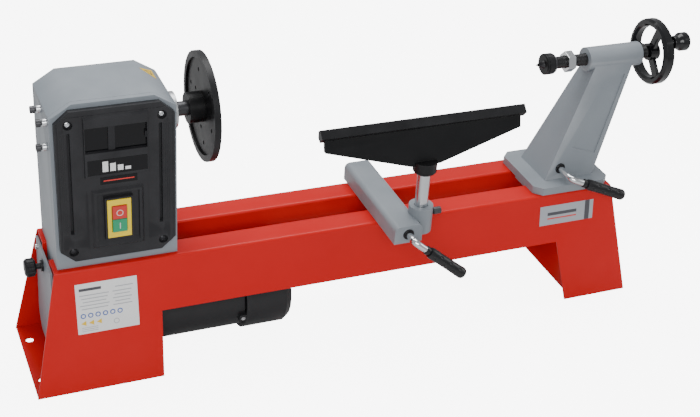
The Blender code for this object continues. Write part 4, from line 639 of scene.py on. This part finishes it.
# ---- Motor, cradle and tension knob -------------------------------------------------------
# A round motor hangs under the bed in a folded cradle that tilts on a pin, and the knob at
# the left end pulls the cradle down to tighten the belt.
motor_paint = finish("motor_paint", (0.008, 0.008, 0.009), (0.012, 0.012, 0.013), (0.30, 0.40),
                     worn=(0.05, 0.05, 0.055), wear=0.6, blotch=30, grain=1100, bump=0.15, shine=0.35)
refined("motor_cradle", grey_coat, 0.0008)
refined("motor_housing", motor_paint, 0.0012, 3)
low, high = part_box("motor_fan_cover")
fan_cover = merged("motor_fan_cover")
slots = bmesh.new()
for k in range(18):
    for inner, outer in ((0.017, 0.031), (0.035, 0.049)):
        slot = bmesh.ops.create_cube(slots, size=1)["verts"]
        bmesh.ops.scale(slots, verts=slot, vec=(0.0030, 0.0026, outer - inner))
        bmesh.ops.translate(slots, verts=slot, vec=(high.x, 0, (inner + outer) / 2))
        bmesh.ops.rotate(slots, verts=slot, cent=(0, 0, 0), matrix=Matrix.Rotation(k * math.pi / 9, 3, "X"))
        bmesh.ops.translate(slots, verts=slot, vec=(0, (low.y + high.y) / 2, (low.z + high.z) / 2))
piece("fan_cover_pressing", combined(fan_cover, slots), "motor_fan_cover", [motor_paint], 0.0008, 2,
      30, ["motor_fan_cover"])
refined("motor_rotor", bright_steel, 0.0004)
for node in ("left_pivot_hanger", "right_pivot_hanger"):
    refined(node, grey_coat, 0.0006)
refined("motor_pivot_pin", zinc, 0.0004)
low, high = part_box("motor_fan_cover")
motor_y, motor_z = (low.y + high.y) / 2, (low.z + high.z) / 2
motor_radius = (high.z - low.z) / 2
for k in range(4):
    lug = block((low.x - 0.010, -0.007, motor_radius - 0.008), (low.x + 0.001, 0.007, motor_radius - 0.0010))
    screw = turned([(motor_radius - 0.003, 0), (motor_radius - 0.003, 0.0032), (motor_radius - 0.0006, 0.0032),
                    (motor_radius - 0.0002, 0.0022), (motor_radius - 0.0008, 0.0014),
                    (motor_radius - 0.0008, 0)], "Z", (low.x - 0.0045, 0, 0), 24)
    for shape in (lug, screw):
        bmesh.ops.rotate(shape, verts=shape.verts, cent=(0, 0, 0),
                         matrix=Matrix.Rotation(math.radians(108 + 90 * k), 3, "X"))
        bmesh.ops.translate(shape, verts=shape.verts, vec=(0, motor_y, motor_z))
    piece("fan_cover_lug_%d" % (k + 1), lug, "motor_fan_cover", [motor_paint], 0.0010, 2)
    piece("fan_cover_screw_%d" % (k + 1), screw, "motor_fan_cover", [zinc])
low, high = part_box("tension_knob")
centre = (low + high) / 2
knob_radius = (high.y - low.y) / 2
knob = merged("tension_knob")
flutes = bmesh.new()
for k in range(12):
    flute = bmesh.ops.create_cone(flutes, cap_ends=True, segments=12, radius1=0.0016, radius2=0.0016,
                                  depth=0.030)["verts"]
    bmesh.ops.rotate(flutes, verts=flute, cent=(0, 0, 0), matrix=Matrix.Rotation(math.pi / 2, 3, "Y"))
    bmesh.ops.translate(flutes, verts=flute, vec=(low.x + 0.0005, 0, knob_radius + 0.0006))
    bmesh.ops.rotate(flutes, verts=flute, cent=(0, 0, 0), matrix=Matrix.Rotation(k * math.pi / 6, 3, "X"))
    bmesh.ops.translate(flutes, verts=flute, vec=(0, centre.y, centre.z))
knob = combined(knob, flutes)
piece("tension_knob_finished", knob, "tension_knob", [black_moulding], 0.0004, 2, 30, ["tension_knob"])

# ---- Tool rest base -----------------------------------------------------------------------
# A cast arm slides across the bed on a clamp bolt and its plate.  The cam lever with a
# ribbed grip locks it, and a boss at the front end takes the post of the rest.
cast_grey = finish("cast_grey", (0.190, 0.212, 0.235), (0.225, 0.248, 0.270), (0.34, 0.48),
                   worn=(0.52, 0.54, 0.56), wear=0.5, blotch=22, grain=380, bump=0.22, depth=0.0004)
for node in ("banjo_clamp_plate", "banjo_clamp_bolt", "tailstock_clamp_plate", "tailstock_clamp_bolt"):
    refined(node, bright_steel, 0.0005)
refined("banjo_body", cast_grey, 0.0034, 4, 30)


column = merged("tailstock_body")
column_foot_y, column_head_y, foot_z, head_z = 0.038, 0.016, 0.1938, 0.3705
for side in (-1, 1):
    recess = bmesh.new()
    corners = [(0.7882, 0.2409), (0.8274, 0.2273), (0.8678, 0.3481), (0.8335, 0.3382)]
    panel = []
    for x, z in corners:
        face_y = column_foot_y - (column_foot_y - column_head_y) * (z - foot_z) / (head_z - foot_z)
        panel.append(recess.verts.new((x, side * (face_y - 0.0014), z)))
    pushed = bmesh.ops.extrude_face_region(recess, geom=[recess.faces.new(panel)])["geom"]
    bmesh.ops.translate(recess, verts=[v for v in pushed if isinstance(v, bmesh.types.BMVert)],
                        vec=(0, side * 0.012, 0))
    bmesh.ops.recalc_face_normals(recess, faces=recess.faces)
    column = combined(column, recess)
piece("tailstock_casting", column, "tailstock_body", [cast_grey], 0.0016, 3, 30, ["tailstock_body"])
for node in ("banjo_bush", "tailstock_bush"):
    refined(node, black_moulding, 0.0006)
chrome = finish("chrome_plate", (0.72, 0.73, 0.74), (0.66, 0.67, 0.68), (0.08, 0.14), 1.0, blotch=20,
                grain=300, bump=0.02)
grip_moulding = finish("grip_moulding", (0.006, 0.006, 0.007), (0.009, 0.009, 0.010), (0.24, 0.32),
                       blotch=60, grain=1500, bump=0.10, shine=0.4)
for side in ("banjo", "tailstock"):
    refined(side + "_lever_rod", chrome, 0.0003)
    points = [v.co.copy() for v in frame["nodes"][side + "_lever_grip"].data.vertices]
    way = Vector((0.7, -0.1, -0.5)).normalized()
    middle = sum(points, Vector()) / len(points)
    # The grip's axis is the direction its points spread along most, found by repeated steps.
    for attempt in range(8):
        way = sum(((p - middle) * (p - middle).dot(way) for p in points), Vector()).normalized()
    reach = [(p - middle).dot(way) for p in points]
    start, length = middle + way * min(reach), max(reach) - min(reach)
    radius = max(((p - middle) - way * (p - middle).dot(way)).length for p in points)
    grip = turned([(0, 0.0053), (0, radius * 0.70), (0.0006, radius * 0.76), (0.0040, radius * 0.76),
                   (0.0046, radius * 0.62), (0.0062, radius * 0.62), (0.0072, radius * 0.90),
                   (0.0110, radius), (length * 0.35, radius * 0.95), (length * 0.65, radius * 0.95),
                   (length * 0.88, radius)]
                  + rounded_corner(length - 0.0055, radius - 0.0055, 0.0055, 90, 5)
                  + [(length, 0), (length - 0.001, 0), (length - 0.003, 0.0053)], "Z", (0, 0, 0), 40)
    dents = bmesh.new()
    for row in range(6):
        for k in range(4):
            angle = math.radians(90 * k + 45 * (row % 2))
            dent = bmesh.ops.create_uvsphere(dents, u_segments=12, v_segments=8, radius=0.0034)["verts"]
            bmesh.ops.scale(dents, verts=dent, vec=(0.30, 0.75, 1.15))
            bmesh.ops.translate(dents, verts=dent, vec=(radius * 0.97, 0, 0.0165 + row * 0.0085))
            bmesh.ops.rotate(dents, verts=dent, cent=(0, 0, 0), matrix=Matrix.Rotation(angle, 3, "Z"))
    grip = combined(grip, dents)
    bmesh.ops.rotate(grip, verts=grip.verts, cent=(0, 0, 0), matrix=way.to_track_quat("Z", "Y").to_matrix())
    bmesh.ops.translate(grip, verts=grip.verts, vec=start)
    piece(side + "_grip_moulding", grip, side + "_lever_grip", [grip_moulding], replaces=[side + "_lever_grip"])
refined("rest_post", bright_steel, 0.0006)
refined("rest_lock_screw", black_steel, 0.0005)

# ---- Tool rest ----------------------------------------------------------------------------
# The rest is a rolled steel bar on a collar, painted satin black and worn along its top edge.
refined("tool_rest", dark_iron, 0.0009, 3)

# ---- Live centre and lock nut -------------------------------------------------------------
# The live centre is a turned steel head that spins in its own bearing, grooved round twice.
# The lock nut behind it is a plated hexagon.
low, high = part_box("live_centre")
middle_y, middle_z = (low.y + high.y) / 2, (low.z + high.z) / 2
cone_length, ring_radius = 0.0125, (high.z - low.z) / 2 + 0.0004
centre_shape = merged("live_centre")
for along in (low.x + cone_length + 0.0035, high.x - 0.0040):
    band = turned([(along, ring_radius - 0.0010), (along, ring_radius), (along + 0.0009, ring_radius),
                   (along + 0.0009, ring_radius - 0.0010)], "X", (0, middle_y, middle_z), 64)
    centre_shape = combined(centre_shape, band)
piece("live_centre_turned", centre_shape, "live_centre", [dark_iron], 0.0003, 2, 35, ["live_centre"])
refined("centre_lock_nut", chrome, 0.0006)

# ---- Tail screw ---------------------------------------------------------------------------
# The screw is blackened steel: a plain core with a 2.5 mm right-hand thread cut along it, run
# here as one ridge from behind the live centre to the handwheel.
thread_dark = finish("thread_dark", (0.007, 0.007, 0.008), (0.012, 0.012, 0.013), (0.22, 0.32), blotch=30,
                     grain=900, bump=0.1, shine=0.5)
low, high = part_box("tail_screw")
axis_y, axis_z = (low.y + high.y) / 2, (low.z + high.z) / 2
screw_radius = (high.z - low.z) / 2
thread_start, thread_end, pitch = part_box("live_centre")[1].x + 0.0015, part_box("handwheel")[0].x, 0.0025
root_radius = screw_radius - 0.0008
core = merged("tail_screw")
for vertex in core.verts:
    offset = Vector((0, vertex.co.y - axis_y, vertex.co.z - axis_z))
    if offset.length > screw_radius - 0.0003:
        vertex.co -= offset * (1 - root_radius / offset.length)
piece("tail_screw_core", core, "tail_screw", [thread_dark], 0.0003, 2, 35, ["tail_screw"])
ridge = bmesh.new()
ridge_points = [ridge.verts.new((along, 0, radius)) for along, radius in
                ((0, root_radius - 0.0003), (pitch * 0.46, screw_radius - 0.0001),
                 (pitch * 0.54, screw_radius - 0.0001), (pitch, root_radius - 0.0003))]
ridge_edges = [ridge.edges.new((ridge_points[k], ridge_points[(k + 1) % 4])) for k in range(4)]
turns, per_turn = int((thread_end - thread_start) / pitch) - 1, 28
bmesh.ops.spin(ridge, geom=ridge_points + ridge_edges, cent=(0, 0, 0), axis=(1, 0, 0),
               dvec=(pitch / per_turn, 0, 0), angle=math.tau * turns, steps=per_turn * turns)
bmesh.ops.holes_fill(ridge, edges=[e for e in ridge.edges if e.is_boundary], sides=4)
bmesh.ops.translate(ridge, verts=ridge.verts, vec=(thread_start, axis_y, axis_z))
bmesh.ops.recalc_face_normals(ridge, faces=ridge.faces)
piece("tail_screw_thread", ridge, "tail_screw", [thread_dark])

# ---- Handwheel ----------------------------------------------------------------------------
# A glossy black moulding: rim, three spokes and hub in one, with a crank knob that spins on it.
wheel_gloss = finish("wheel_gloss", (0.003, 0.003, 0.004), (0.005, 0.005, 0.006), (0.12, 0.18), blotch=30,
                     grain=500, bump=0.03, shine=0.45)
refined("handwheel", wheel_gloss, 0.0016, 3, 30)
refined("handwheel_knob", wheel_gloss, 0.0012, 3, 30)
